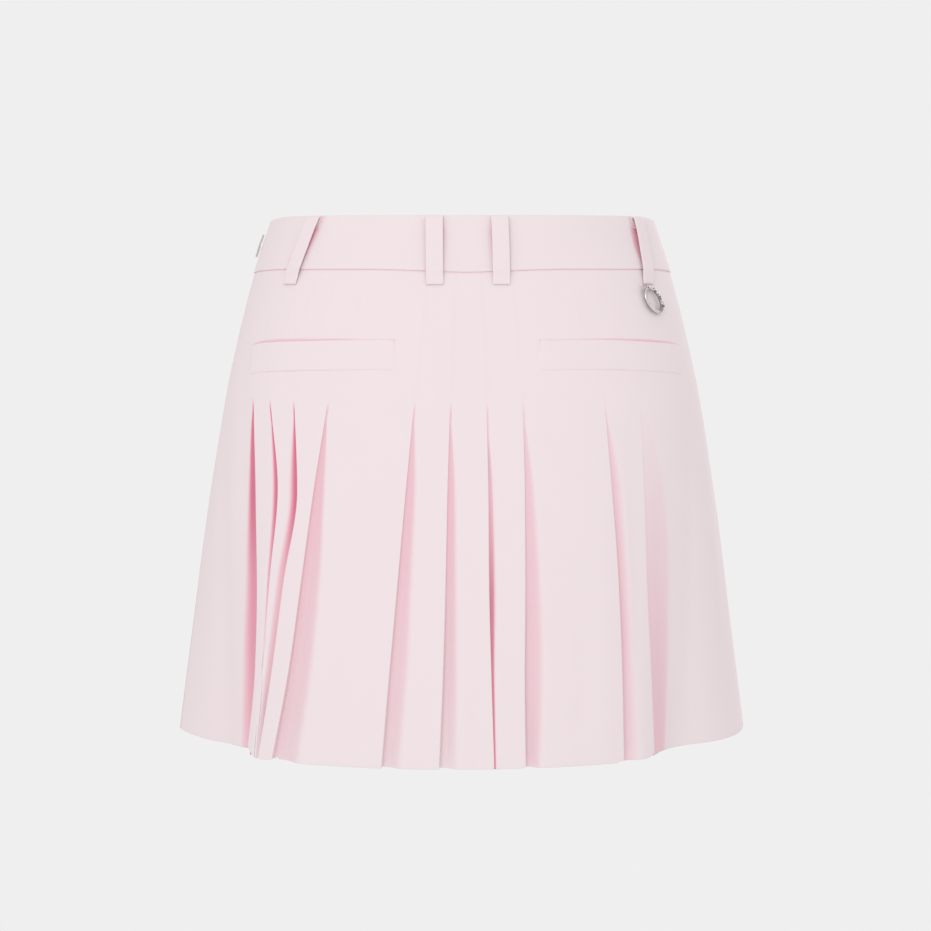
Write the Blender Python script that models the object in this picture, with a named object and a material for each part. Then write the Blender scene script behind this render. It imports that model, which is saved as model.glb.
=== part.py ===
"""A pleated golf skort as it hangs when it is worn: waistband, released pleats and inner shorts.

Metres, +Z up. The wearer's left is +X and the back faces +Y. The origin is the centre of the
waist opening, level with the waistband's top edge at centre back. "Down" is the depth below it.
A place around the body is its distance along the cloth from centre back, plus to the wearer's left.
"""

from collections import namedtuple
from functools import lru_cache
import math

import bmesh
import bpy
from mathutils import Matrix, Vector
import numpy as np

MM = 0.001

# ---- driving sizes -------------------------------------------------------------------------
SEAM_GAP = 0.3 * MM  # between two pieces that are sewn together
SHELL = 1.2 * MM  # thickness of the skirt cloth
BAND = 2.4 * MM  # the waistband is folded double over an interlining
KNIT = 1.0 * MM  # thickness of the shorts cloth
LOOP = 1.5 * MM  # thickness of a belt loop
WELT = 1.0 * MM  # thickness of a pocket welt

STITCH_END = 124 * MM  # down to where the pleats are stitched
HEM = 365 * MM  # down to the hem
BAND_OVERLAP = 15 * MM  # how far each waistband end passes centre front

# The body of the garment at each depth, as a rounded plan shape with its own front and back depth.
# A squareness of 2 is an ellipse.
Level = namedtuple("Level", "down half_width back_depth front_depth squareness")
BODY = [
    Level(0 * MM, 133.0 * MM, 100.0 * MM, 89 * MM, 2.20),
    Level(20 * MM, 139.5 * MM, 103.5 * MM, 93 * MM, 2.20),
    Level(41 * MM, 146.5 * MM, 107.0 * MM, 97 * MM, 2.25),
    Level(83 * MM, 157.5 * MM, 116.0 * MM, 105 * MM, 2.35),
    Level(124 * MM, 166.5 * MM, 125.0 * MM, 112 * MM, 2.40),
    Level(205 * MM, 180.5 * MM, 138.0 * MM, 124 * MM, 2.35),
    Level(295 * MM, 193.0 * MM, 147.5 * MM, 133 * MM, 2.20),
    Level(365 * MM, 202.5 * MM, 152.0 * MM, 139 * MM, 2.10),
]

# The waistband's edges. "Turn" goes from 0 at centre back over 0.5 at the side seam to 1 in front.
Edge = namedtuple("Edge", "turn top_down height")
WAIST_EDGE = [
    Edge(0.00, 0.0 * MM, 38.8 * MM),
    Edge(0.17, 0.1 * MM, 37.0 * MM),
    Edge(0.33, 0.7 * MM, 37.3 * MM),
    Edge(0.50, 5.0 * MM, 37.0 * MM),
    Edge(0.75, 15.0 * MM, 37.5 * MM),
    Edge(1.00, 23.0 * MM, 38.0 * MM),
]

# The pleats, each a folded edge with a recess beside it. The edge runs from where the stitching
# ends, through the middle of its length, to the hem. The recess lies to the wearer's left (+1) or
# right (-1) of the edge, opens to its two widths, and is so deep at the hem.
Pleat = namedtuple("Pleat", "name top middle hem lies wide_middle wide_hem deep")
BACK_PLEATS = [
    Pleat("left_side", 158.8 * MM, 151.5 * MM, 156.0 * MM, +1, 8.5 * MM, 9.0 * MM, 7 * MM),
    Pleat("left_finger", 141.6 * MM, 138.5 * MM, 149.5 * MM, +1, 4.5 * MM, 3.0 * MM, 2 * MM),
    Pleat("left_slant", 120.8 * MM, 126.5 * MM, 140.5 * MM, +1, 6.5 * MM, 5.0 * MM, 6 * MM),
    Pleat("left_wide", 95.4 * MM, 114.5 * MM, 131.0 * MM, -1, 15.5 * MM, 22.0 * MM, 9 * MM),
    Pleat("centre_first", 35.8 * MM, 47.5 * MM, 58.5 * MM, -1, 11.0 * MM, 14.0 * MM, 8 * MM),
    Pleat("centre_second", 12.1 * MM, 15.5 * MM, 20.0 * MM, -1, 8.0 * MM, 12.5 * MM, 8 * MM),
    Pleat("centre_third", -12.1 * MM, -13.5 * MM, -16.3 * MM, -1, 5.0 * MM, 3.5 * MM, 7 * MM),
    Pleat("centre_fourth", -36.4 * MM, -37.6 * MM, -37.5 * MM, -1, 10.5 * MM, 11.0 * MM, 8 * MM),
    Pleat("right_wide", -93.6 * MM, -103.0 * MM, -107.0 * MM, -1, 10.0 * MM, 11.0 * MM, 7 * MM),
    Pleat("right_side", -122.1 * MM, -126.5 * MM, -133.5 * MM, -1, 24.0 * MM, 14.0 * MM, 9 * MM),
]
# In front, three plainer pleats towards each side, given for the left and mirrored to the right.
FRONT_PLEATS = [
    Pleat("front_inner", 60.0 * MM, 62.0 * MM, 66.0 * MM, +1, 9.0 * MM, 12.0 * MM, 7 * MM),
    Pleat("front_middle", 85.0 * MM, 89.0 * MM, 97.0 * MM, +1, 9.0 * MM, 12.0 * MM, 7 * MM),
    Pleat("front_outer", 110.0 * MM, 118.0 * MM, 131.0 * MM, +1, 10.0 * MM, 13.0 * MM, 7 * MM),
]

# How far the side panels hang inside the body form at the hem, by place around.
SetBack = namedtuple("SetBack", "place inward")
SET_BACK = [
    SetBack(-284 * MM, 0.0 * MM),
    SetBack(-228 * MM, 6.0 * MM),
    SetBack(-198 * MM, 18.0 * MM),
    SetBack(-169 * MM, 28.0 * MM),
    SetBack(-152 * MM, 28.0 * MM),
    SetBack(-137 * MM, 19.0 * MM),
    SetBack(-120 * MM, 13.5 * MM),
    SetBack(-102 * MM, 8.0 * MM),
    SetBack(-80 * MM, 0.0 * MM),
    SetBack(134 * MM, 0.0 * MM),
    SetBack(143 * MM, 4.5 * MM),
    SetBack(150 * MM, 12.0 * MM),
    SetBack(158 * MM, 22.0 * MM),
    SetBack(202 * MM, 22.0 * MM),
    SetBack(229 * MM, 16.0 * MM),
    SetBack(284 * MM, 0.0 * MM),
]

# Belt loops: where each crosses the waistband's top edge, where it ends and how far it stands out.
LoopPlace = namedtuple("LoopPlace", "name top_place end_place stands")
LOOPS = [
    LoopPlace("belt_loop_back_left", 21.7 * MM, 21.7 * MM, 1.0),
    LoopPlace("belt_loop_back_right", -21.7 * MM, -23.0 * MM, 1.0),
    LoopPlace("belt_loop_side_left", 114.0 * MM, 129.0 * MM, 1.26),
    LoopPlace("belt_loop_side_right", -138.0 * MM, -142.0 * MM, 1.20),
    LoopPlace("belt_loop_front_left", 320.0 * MM, 336.0 * MM, 1.12),
    LoopPlace("belt_loop_front_right", -320.0 * MM, -336.0 * MM, 1.12),
]
LOOP_WIDTH = 11.8 * MM
# A loop's way over the waistband: depth below the top edge, and how far outside the body form.
Way = namedtuple("Way", "down out")
LOOP_WAY = [
    Way(12.0 * MM, -2.40 * MM),
    Way(1.0 * MM, -2.40 * MM),
    Way(-1.0 * MM, -1.60 * MM),
    Way(-1.5 * MM, 0.50 * MM),
    Way(-1.0 * MM, 3.20 * MM),
    Way(2.0 * MM, 6.60 * MM),
    Way(6.0 * MM, 8.10 * MM),
    Way(14.0 * MM, 8.40 * MM),
    Way(26.0 * MM, 6.20 * MM),
    Way(35.0 * MM, 3.50 * MM),
    Way(41.0 * MM, 1.90 * MM),
    Way(47.5 * MM, 1.75 * MM),
]
LOOP_FREE = 3 * MM  # beyond this a loop hangs free of the waistband

# Back pocket welts, by the places of their ends and the depth of their upper edge.
Welt = namedtuple("Welt", "name left right top_left top_right height")
WELTS = [
    Welt("pocket_welt_left", 166.0 * MM, 48.0 * MM, 87.5 * MM, 83.0 * MM, 20 * MM),
    Welt("pocket_welt_right", -48.0 * MM, -170.0 * MM, 83.0 * MM, 88.5 * MM, 20 * MM),
]

# The shorts at each depth: how far inside the skirt's body form they lie.
Inset = namedtuple("Inset", "down inward")
SHORTS_INSET = [
    Inset(44 * MM, 1.6 * MM),
    Inset(83 * MM, 3.5 * MM),
    Inset(124 * MM, 6.0 * MM),
    Inset(165 * MM, 11.0 * MM),
    Inset(205 * MM, 17.0 * MM),
    Inset(250 * MM, 26.0 * MM),
    Inset(280 * MM, 33.0 * MM),
    Inset(312 * MM, 40.0 * MM),
]
CROTCH_ROW = 5  # the row of SHORTS_INSET where the legs part
CROTCH_SAG = 14 * MM  # the crotch seam hangs lower half way between front and back
LEG_GAP = 12 * MM  # from the middle to each leg's inside at its hem
LEG_BULGE = 6 * MM  # how far that inside rounds towards the middle at the hem

FLY_LENGTH = 150 * MM
FLY_WIDTH = 38 * MM
FLY_ROUNDING = 0.8  # the share of its length where its lower end begins to round off
BUTTON_RADIUS = 8.5 * MM
BUTTON_THICK = 3.0 * MM
BUTTON_DOWN = 18.5 * MM  # below the waistband's top edge

RING_LENGTH = 21 * MM  # the ornament on the back: an oval ring
RING_WIDTH = 16 * MM
RING_WIRE = 2.6 * MM
RING_PLACE = -140.5 * MM
RING_DOWN = 59 * MM
RING_TILT = math.radians(32)
PLATE_HEIGHT = 22 * MM  # the ornament at the side: an oval plate
PLATE_WIDTH = 14 * MM
PLATE_THICK = 2.2 * MM
PLATE_DOWN = 23 * MM
ORNAMENT_GAP = 0.5 * MM  # a flat ornament's ends stand so much further off the rounded cloth

SHELL_PINK = (0.89, 0.76, 0.78)
KNIT_PINK = (0.86, 0.72, 0.75)
SILVER = (0.80, 0.79, 0.79)
BUTTON_PINK = (0.90, 0.80, 0.81)


# ---- curves through the tables -------------------------------------------------------------
def curve_through(xs, ys, x):
    """The height at x of a smooth curve through the points, flat beyond its two ends."""
    x = min(max(x, xs[0]), xs[-1])
    i = min(max(int(np.searchsorted(xs, x)) - 1, 0), len(xs) - 2)
    slopes = [(ys[k + 1] - ys[k]) / (xs[k + 1] - xs[k]) for k in range(len(xs) - 1)]

    def tangent(k):
        if k == 0 or k == len(xs) - 1:
            return slopes[min(k, len(slopes) - 1)]
        if slopes[k - 1] * slopes[k] <= 0:
            return 0.0
        return 2 * slopes[k - 1] * slopes[k] / (slopes[k - 1] + slopes[k])

    width = xs[i + 1] - xs[i]
    t = (x - xs[i]) / width
    return (
        (2 * t**3 - 3 * t**2 + 1) * ys[i]
        + (t**3 - 2 * t**2 + t) * width * tangent(i)
        + (3 * t**2 - 2 * t**3) * ys[i + 1]
        + (t**3 - t**2) * width * tangent(i + 1)
    )


def read(table, key, column, x):
    """A column of a table at x, where key names the column that x is measured in."""
    return curve_through([getattr(r, key) for r in table], [getattr(r, column) for r in table], x)


def ease(x):
    """From 0 to 1 with soft ends."""
    x = min(max(x, 0.0), 1.0)
    return x * x * (3 - 2 * x)


# ---- the body form -------------------------------------------------------------------------
@lru_cache(maxsize=None)
def section(down):
    """The left half of the plan shape at a depth, from centre back to centre front: its points
    and their distances along the cloth."""
    half, back, front, square = (read(BODY, "down", c, down) for c in BODY[0]._fields[1:])
    angle = np.linspace(0, math.pi, 721)
    x = half * np.abs(np.sin(angle)) ** (2 / square)
    y = np.abs(np.cos(angle)) ** (2 / square) * np.where(angle < math.pi / 2, back, -front)
    along = np.concatenate([[0], np.cumsum(np.hypot(np.diff(x), np.diff(y)))])
    return x, y, along


def side_place(down):
    """The side seam's place at a depth."""
    return float(section(round(down, 5))[2][360])


def front_place(down):
    """Centre front's place at a depth."""
    return float(section(round(down, 5))[2][-1])


def skin(place, down, out=0.0):
    """A point of the body form, moved out along its plan normal."""
    x, y, along = section(round(down, 5))
    whole = along[-1]
    if abs(place) > whole:
        place -= math.copysign(2 * whole, place)
    side = 1 if place >= 0 else -1
    here, step = abs(place), 0.0005
    px, py = np.interp(here, along, x), np.interp(here, along, y)
    ahead, behind = min(here + step, whole), max(here - step, 0)
    dx = np.interp(ahead, along, x) - np.interp(behind, along, x)
    dy = np.interp(ahead, along, y) - np.interp(behind, along, y)
    size = math.hypot(dx, dy)
    return Vector((side * (px - out * dy / size), py + out * dx / size, -down))


def turn_of(place, down):
    """Where a place lies around the body: 0 at centre back, 0.5 at the side seam and 1 at centre
    front, minus to the wearer's right."""
    side, front = side_place(down), front_place(down)
    here = min(abs(place), front)
    turn = here / side / 2 if here < side else 0.5 + (here - side) / (front - side) / 2
    return math.copysign(turn, place)


def place_of(turn, down):
    """The place of a turn at a depth."""
    side, front = side_place(down), front_place(down)
    here = abs(turn)
    place = 2 * here * side if here < 0.5 else side + (2 * here - 1) * (front - side)
    return math.copysign(place, turn)


def band_top(turn):
    return read(WAIST_EDGE, "turn", "top_down", abs(turn))


def band_bottom(turn):
    return band_top(turn) + read(WAIST_EDGE, "turn", "height", abs(turn))


# ---- walls from sheets of points -----------------------------------------------------------
def wall(name, points, faces, thickness, material):
    """A closed wall of cloth around a sheet: the sheet moved out and in by half its thickness,
    joined along every free edge."""
    normals = [Vector() for _ in points]
    for face in faces:
        a, b, c = (points[face[k]] for k in (0, 1, 2))
        d = points[face[3]] if len(face) == 4 else a
        across = (c - a).cross(d - b) if len(face) == 4 else (b - a).cross(c - a)
        for corner in face:
            normals[corner] += across
    mesh = bmesh.new()
    outer = [mesh.verts.new(p + n.normalized() * thickness / 2) for p, n in zip(points, normals)]
    inner = [mesh.verts.new(p - n.normalized() * thickness / 2) for p, n in zip(points, normals)]
    edges = {}
    for face in faces:
        mesh.faces.new([outer[k] for k in face])
        mesh.faces.new([inner[k] for k in reversed(face)])
        for k, corner in enumerate(face):
            following = face[(k + 1) % len(face)]
            edges[(corner, following)] = edges.get((corner, following), 0) + 1
    for a, b in edges:
        if (b, a) not in edges:
            mesh.faces.new([outer[b], outer[a], inner[a], inner[b]])
    return finish(name, mesh, material)


def finish(name, mesh, material):
    data = bpy.data.meshes.new(name)
    mesh.to_mesh(data)
    mesh.free()
    data.materials.append(material)
    data.shade_smooth()
    data.set_sharp_from_angle(angle=math.radians(40))
    piece = bpy.data.objects.new(name, data)
    bpy.context.scene.collection.objects.link(piece)
    return piece


def grid_faces(rows, columns):
    """Faces of a grid whose columns run to the wearer's right, seen from outside."""
    return [
        (r * columns + c, (r + 1) * columns + c, (r + 1) * columns + c + 1, r * columns + c + 1)
        for r in range(rows - 1)
        for c in range(columns - 1)
    ]


def cloth(name, rows, thickness, material):
    """A wall through rows of points, top row first, each from the wearer's left to the right."""
    points = [p for row in rows for p in row]
    return wall(name, points, grid_faces(len(rows), len(rows[0])), thickness, material)


def finish_material(name, colour, roughness, metallic=0.0):
    material = bpy.data.materials.new(name)
    material.use_nodes = True
    shader = material.node_tree.nodes["Principled BSDF"]
    shader.inputs["Base Color"].default_value = (*colour, 1.0)
    shader.inputs["Roughness"].default_value = roughness
    shader.inputs["Metallic"].default_value = metallic
    return material


# ---- skirt panels --------------------------------------------------------------------------
def released(down):
    """0 where the pleats' stitching ends, 1 at the hem."""
    return min(max((down - STITCH_END) / (HEM - STITCH_END), 0.0), 1.0)


def set_back(place, down):
    """How far the cloth hangs inside the body form."""
    share = place * side_place(HEM) / side_place(down)
    return read(SET_BACK, "place", "inward", share) * released(down) ** 1.2


# Across one pleat, from the plain cloth before the folded edge to the far side of its recess: the
# place in a closed pleat, the place in an open one, in shares of the recess and of the tuck behind
# the edge, and how deep.
Across = namedtuple("Across", "closed wide tuck deep")
FOLD = [
    Across(0.00, 0.00, 0.0, 0.00),
    Across(0.25, 0.04, -1.0, 1.00),
    Across(0.50, 0.42, 0.0, 0.95),
    Across(0.75, 0.75, 0.0, 0.45),
    Across(1.00, 1.00, 0.0, 0.00),
]
BEFORE_FOLD = 2.5 * MM  # the plain cloth's last column stands so far before the edge
LEAST_WIDE = 3.0 * MM  # a recess that is narrower has no room for the wall's thickness
LEAST_DEEP = 0.3 * MM
STEEPNESS = 1.2  # how much deeper a recess may be for each step wider than LEAST_WIDE
OPENS_WITHIN = 0.12  # the recess takes its shape in this share of the released length
TUCK = 0.45  # the tuck behind a folded edge, as a share of the depth beyond TUCK_FROM
TUCK_FROM = 3.0 * MM


def pleat_columns(pleat, down):
    """A pleat's (place, inward) pairs at a depth, from the folded edge across the recess."""
    share = released(down)
    times = [0.0, 0.5, 1.0]
    edge = curve_through(times, [pleat.top, pleat.middle, pleat.hem], share)
    wide = max(curve_through(times, [0.0, pleat.wide_middle, pleat.wide_hem], share), LEAST_WIDE)
    deep = min(pleat.deep * share**0.8, LEAST_DEEP + STEEPNESS * (wide - LEAST_WIDE))
    tuck = TUCK * max(deep - TUCK_FROM, 0.0)
    opened = ease(share / OPENS_WITHIN)
    pairs = [(edge - pleat.lies * BEFORE_FOLD, 0.0)]
    for f in FOLD:
        along = (f.wide * wide + f.tuck * tuck) * opened + f.closed * LEAST_WIDE * (1 - opened)
        pairs.append((edge + pleat.lies * along, deep * f.deep))
    return pairs if pleat.lies < 0 else pairs[::-1]


PLAIN_STEP = 20 * MM  # between columns on plain cloth


def panel_rows(left, right, pleats, downs):
    """Rows of points of a panel between two edges, each given as a function of the depth.
    The pleats run from the wearer's left to the right, with plain cloth shared out between."""
    rows = []
    for down in downs:
        row = [[(left(down), 0.0)]] + [pleat_columns(p, down) for p in pleats]
        row += [[(right(down), 0.0)]]
        rows.append(row)
    plain = [
        max(int(round(abs(rows[-1][k][-1][0] - rows[-1][k + 1][0][0]) / PLAIN_STEP)), 1)
        for k in range(len(pleats) + 1)
    ]
    result = []
    for down, row in zip(downs, rows):
        pairs = list(row[0])
        for k, count in enumerate(plain):
            start, end = row[k][-1], row[k + 1][0]
            for step in range(1, count):
                share = step / count
                pairs.append((start[0] + (end[0] - start[0]) * share, 0.0))
            pairs += row[k + 1]
        result.append(pairs)
    return result


YOKE_ROWS = 3
SKIRT_DOWNS = [124, 142, 172, 212, 260, 312, 365]  # mm

# A panel's rows of points, and its columns' places where the pleats' stitching ends.
Panel = namedtuple("Panel", "rows places")


def skirt_panel(name, left, right, pleats, material):
    """A skirt panel: its yoke from the waist seam to the stitching's end, then released pleats."""
    downs = [d * MM for d in SKIRT_DOWNS]
    rows = panel_rows(left, right, pleats, downs)
    yoke = []
    for k in range(YOKE_ROWS):
        share = k / YOKE_ROWS
        row = []
        for place, _ in rows[0]:
            turn = turn_of(place, STITCH_END)
            top = band_bottom(turn) + SEAM_GAP
            down = top + (STITCH_END - top) * share
            row.append(skin(place_of(turn, down), down))
        yoke.append(row)
    skirt = [
        [skin(place, down, -inward - set_back(place, down)) for place, inward in row]
        for down, row in zip(downs, rows)
    ]
    cloth(name, yoke + skirt, SHELL, material)
    return Panel(yoke + skirt, [place for place, _ in rows[0]])


def on_panel(panel, place, down, out):
    """A point on a panel's own facets, moved out from them. The place is level with where the
    pleats' stitching ends."""
    places = panel.places
    c = next((k for k in range(len(places) - 2) if places[k + 1] <= place), len(places) - 2)
    f = min(max((places[c] - place) / (places[c] - places[c + 1]), 0.0), 1.0)
    column = [row[c].lerp(row[c + 1], f) for row in panel.rows]
    r = next((k for k in range(len(column) - 2) if column[k + 1].z <= -down), len(column) - 2)
    g = (column[r].z + down) / (column[r].z - column[r + 1].z)
    point = column[r].lerp(column[r + 1], g)
    return point + (skin(place, STITCH_END, out) - skin(place, STITCH_END))


def add_skirt(material):
    gap = SEAM_GAP / 2
    back = skirt_panel(
        "skirt_back",
        lambda down: side_place(down) - gap,
        lambda down: -side_place(down) + gap,
        BACK_PLEATS,
        material,
    )

    def from_front(pleat, side):
        """A front pleat, measured from centre front, as a place from centre back."""
        top, middle, hem = (
            side * (front_place(down) - distance)
            for down, distance in (
                (STITCH_END, pleat.top),
                ((STITCH_END + HEM) / 2, pleat.middle),
                (HEM, pleat.hem),
            )
        )
        return pleat._replace(top=top, middle=middle, hem=hem, lies=-side * pleat.lies)

    front_left = skirt_panel(
        "skirt_front_left",
        lambda down: front_place(down) - gap,
        lambda down: side_place(down) + gap,
        [from_front(p, +1) for p in FRONT_PLEATS],
        material,
    )
    front_right = skirt_panel(
        "skirt_front_right",
        lambda down: -side_place(down) - gap,
        lambda down: -front_place(down) + gap,
        [from_front(p, -1) for p in reversed(FRONT_PLEATS)],
        material,
    )
    return back, front_left, front_right


# ---- waistband, loops and what is sewn on --------------------------------------------------
BAND_LEVEL = 20 * MM  # where the waistband's places are measured
BAND_COLUMNS = 60
BAND_ROWS = 4
BAND_LAP = (BAND + SEAM_GAP) / 2  # how far each lapped end moves in or out
LAP_STARTS = 3.5  # how many overlaps before its end the band begins to do so


def add_waistband(material):
    """One band whose right end laps over its left end at centre front."""
    front = front_place(BAND_LEVEL)
    end = front + BAND_OVERLAP
    rows = []
    for r in range(BAND_ROWS):
        row = []
        for c in range(BAND_COLUMNS + 1):
            place = end - 2 * end * c / BAND_COLUMNS
            near_end = ease((abs(place) - (end - LAP_STARTS * BAND_OVERLAP)) / BAND_OVERLAP)
            out = near_end * (BAND_LAP if place < 0 else -BAND_LAP)
            if abs(place) > front:
                place -= math.copysign(2 * front, place)
            turn = turn_of(place, BAND_LEVEL)
            top, bottom = band_top(turn), band_bottom(turn)
            down = top + (bottom - top) * r / (BAND_ROWS - 1)
            row.append(skin(place_of(turn, down), down, out))
        rows.append(row)
    cloth("waistband", rows, BAND, material)


def add_belt_loop(spot, material):
    """A strip over the waistband's top edge and down its outside, its end on the skirt."""
    rows = []
    for way in LOOP_WAY:
        share = max(way.down, 0.0) / LOOP_WAY[-1].down if way.out > 0 else 0.0
        middle = spot.top_place + (spot.end_place - spot.top_place) * share
        row = []
        for across in (0.5, 0.0, -0.5):
            place = middle + across * LOOP_WIDTH
            down = band_top(turn_of(place, BAND_LEVEL)) + way.down
            out = way.out * (spot.stands if way.out > LOOP_FREE else 1.0)
            point = skin(place, max(down, 0.0), out)
            point.z = -down
            row.append(point)
        rows.append(row)
    cloth(spot.name, rows, LOOP, material)


def add_pocket_welt(welt, back, material):
    """A folded strip that lies on the back panel over the pocket's slit, on the panel's points."""
    out = SHELL / 2 + SEAM_GAP + WELT / 2
    left, right = (
        place_of(turn_of(end, welt.top_left), STITCH_END) for end in (welt.left, welt.right)
    )
    places = [left] + [p for p in back.places if right + MM < p < left - MM] + [right]
    middle_row = -back.rows[YOKE_ROWS - 1][len(back.places) // 2].z
    rows = []
    for depth in ("top", "middle", "bottom"):
        row = []
        for place in places:
            share = (left - place) / (left - right)
            top = welt.top_left + (welt.top_right - welt.top_left) * ease(share)
            down = {"top": top, "middle": middle_row, "bottom": top + welt.height}[depth]
            row.append(on_panel(back, place, down, out))
        rows.append(row)
    cloth(welt.name, rows, WELT, material)


def add_fly_placket(front_left, front_right, material):
    """A strip over centre front, rounded at its lower end, on the two panels' points."""
    out = SHELL / 2 + SEAM_GAP + SHELL / 2
    centre = front_place(STITCH_END)
    beside = 0.25 * MM  # from centre front to the columns next to it
    top = band_bottom(1.0) + 1.0 * MM
    downs = [top + FLY_LENGTH * share for share in (0, 0.2, 0.4, 0.6, FLY_ROUNDING, 0.9, 0.97, 1.0)]
    downs += [-row[0].z for row in front_left.rows if top < -row[0].z < top + FLY_LENGTH]
    rows = []
    for down in sorted(downs):
        rounding = ((down - top) / FLY_LENGTH - FLY_ROUNDING) / (1.01 - FLY_ROUNDING)
        half = FLY_WIDTH / 2 * math.sqrt(1 - max(rounding, 0.0) ** 2)
        row = [on_panel(front_right, across - centre, down, out) for across in (half, beside)]
        row += [on_panel(front_left, centre - across, down, out) for across in (beside, half)]
        rows.append(row)
    cloth("fly_placket", rows, SHELL, material)


def turned(name, rings, width, height, thick, material, sides=24):
    """A flat round or oval piece in X and Y that faces +Z, from rings of (size, height) shares."""
    mesh = bmesh.new()
    verts = []
    for size, rise in rings:
        angles = [2 * math.pi * k / sides for k in range(sides if size else 1)]
        spots = [(math.cos(a) * size * width / 2, math.sin(a) * size * height / 2) for a in angles]
        verts.append([mesh.verts.new((x, y, rise * thick)) for x, y in spots])
    for upper, lower in zip(verts, verts[1:]):
        for k in range(sides):
            corners = [
                upper[k % len(upper)],
                upper[(k + 1) % len(upper)],
                lower[(k + 1) % len(lower)],
                lower[k % len(lower)],
            ]
            mesh.faces.new(list(dict.fromkeys(corners)))
    bmesh.ops.recalc_face_normals(mesh, faces=mesh.faces)
    return finish(name, mesh, material)


def stand_on(piece, place, down, out, tilt=0.0):
    """Turns a piece modelled in X and Y, facing +Z, to lie on the body form."""
    reach = 10 * MM  # above and below, where the form's slope is measured
    at = skin(place, down, out)
    outward = (skin(place, down, out + reach) - at).normalized()
    around = turn_of(place, down)
    above, below = (skin(place_of(around, d), d, out) for d in (down - reach, down + reach))
    slope = (above - below).normalized()
    across = slope.cross(outward).normalized()
    facing = across.cross(slope).normalized()
    turn = math.cos(tilt) * across + math.sin(tilt) * slope
    upright = math.cos(tilt) * slope - math.sin(tilt) * across
    placing = Matrix((turn, upright, facing)).transposed().to_4x4()
    placing.translation = at
    piece.matrix_world = placing


def add_button(material):
    """A flat button through the lapped end of the waistband, with a raised rim."""
    rings = [(0.0, 0.7), (0.62, 0.7), (0.72, 1.0), (0.9, 1.0), (1.0, 0.75), (1.0, 0.0), (0.0, 0.0)]
    button = turned("button", rings, 2 * BUTTON_RADIUS, 2 * BUTTON_RADIUS, BUTTON_THICK, material)
    down = band_top(1.0) + BUTTON_DOWN
    out = BAND_LAP + BAND / 2 + SEAM_GAP + 0.25 * MM
    stand_on(button, -front_place(down), down, out)


# ---- shorts --------------------------------------------------------------------------------
SHORTS_COLUMNS = 22
INSIDE_COLUMNS = 7
BELOW_BAND = 1.5 * MM  # the shorts hang from just below the waistband's lower edge


def add_shorts(name, side, material):
    """One leg of the shorts: around the outside from front to back, and below the crotch also
    along the inside of the thigh."""
    points, faces, index = [], [], {}

    crotch, hem = SHORTS_INSET[CROTCH_ROW].down, SHORTS_INSET[-1].down
    for r, level in enumerate(SHORTS_INSET):
        below = r >= CROTCH_ROW
        parted = (level.down - crotch) / (hem - crotch)
        least = SEAM_GAP / 2 + (KNIT / 2 + parted * LEG_GAP if below else 0.0)
        ring = []
        for c in range(SHORTS_COLUMNS):
            share = c / (SHORTS_COLUMNS - 1)
            down = level.down
            place = share * front_place(down)
            if r == 0:
                down = max(down, band_bottom(turn_of(place, down)) + BELOW_BAND)
            point = skin(place, down, -level.inward)
            point.x = max(point.x, least)
            ring.append(point)
        if below:
            back, front = ring[0], ring[-1]
            for k in range(1, INSIDE_COLUMNS + 1):
                share = k / (INSIDE_COLUMNS + 1)
                sag = CROTCH_SAG * math.sin(math.pi * share) * (1 - parted)
                bulge = LEG_BULGE * math.sin(math.pi * share) * parted
                ring.append(
                    Vector((least - bulge, front.y + (back.y - front.y) * share, front.z - sag))
                )
        for c, point in enumerate(ring):
            index[r, c] = len(points)
            points.append(Vector((side * point.x, point.y, point.z)))
    around = SHORTS_COLUMNS + INSIDE_COLUMNS
    for r in range(len(SHORTS_INSET) - 1):
        closed = r >= CROTCH_ROW
        for c in range(around if closed else SHORTS_COLUMNS - 1):
            after = (c + 1) % around
            face = (index[r, c], index[r, after], index[r + 1, after], index[r + 1, c])
            faces.append(face if side > 0 else face[::-1])
    wall(name, points, faces, KNIT, material)


# ---- metal ornaments -----------------------------------------------------------------------
def add_oval_ring(material):
    """A plain oval ring of round wire, sewn flat on the yoke."""
    mesh = bmesh.new()
    around, sides = 28, 8
    half_wide, half_long = (RING_WIDTH - RING_WIRE) / 2, (RING_LENGTH - RING_WIRE) / 2
    upward = Vector((0, 0, RING_WIRE / 2))
    verts = []
    for k in range(around):
        angle = 2 * math.pi * k / around
        centre = Vector((math.cos(angle) * half_wide, math.sin(angle) * half_long, 0))
        outward = Vector((math.cos(angle) / half_wide, math.sin(angle) / half_long, 0))
        outward = outward.normalized() * RING_WIRE / 2
        turns = [2 * math.pi * s / sides for s in range(sides)]
        wire = [centre + outward * math.cos(t) + upward * math.sin(t) for t in turns]
        verts.append([mesh.verts.new(point) for point in wire])
    for k in range(around):
        here, following = verts[k], verts[(k + 1) % around]
        for s in range(sides):
            after = (s + 1) % sides
            mesh.faces.new([here[s], following[s], following[after], here[after]])
    bmesh.ops.recalc_face_normals(mesh, faces=mesh.faces)
    ring = finish("ornament_back", mesh, material)
    out = SHELL / 2 + SEAM_GAP + RING_WIRE / 2 + ORNAMENT_GAP
    stand_on(ring, RING_PLACE, RING_DOWN, out, RING_TILT)


def add_oval_plate(material):
    """A plain domed oval plate on the waistband at the left side seam."""
    rings = [(0.0, 1.0), (0.6, 0.85), (0.9, 0.5), (1.0, 0.0), (0.0, 0.0)]
    plate = turned("ornament_side", rings, PLATE_WIDTH, PLATE_HEIGHT, PLATE_THICK, material)
    stand_on(plate, side_place(PLATE_DOWN), PLATE_DOWN, BAND / 2 + SEAM_GAP + ORNAMENT_GAP)


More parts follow.
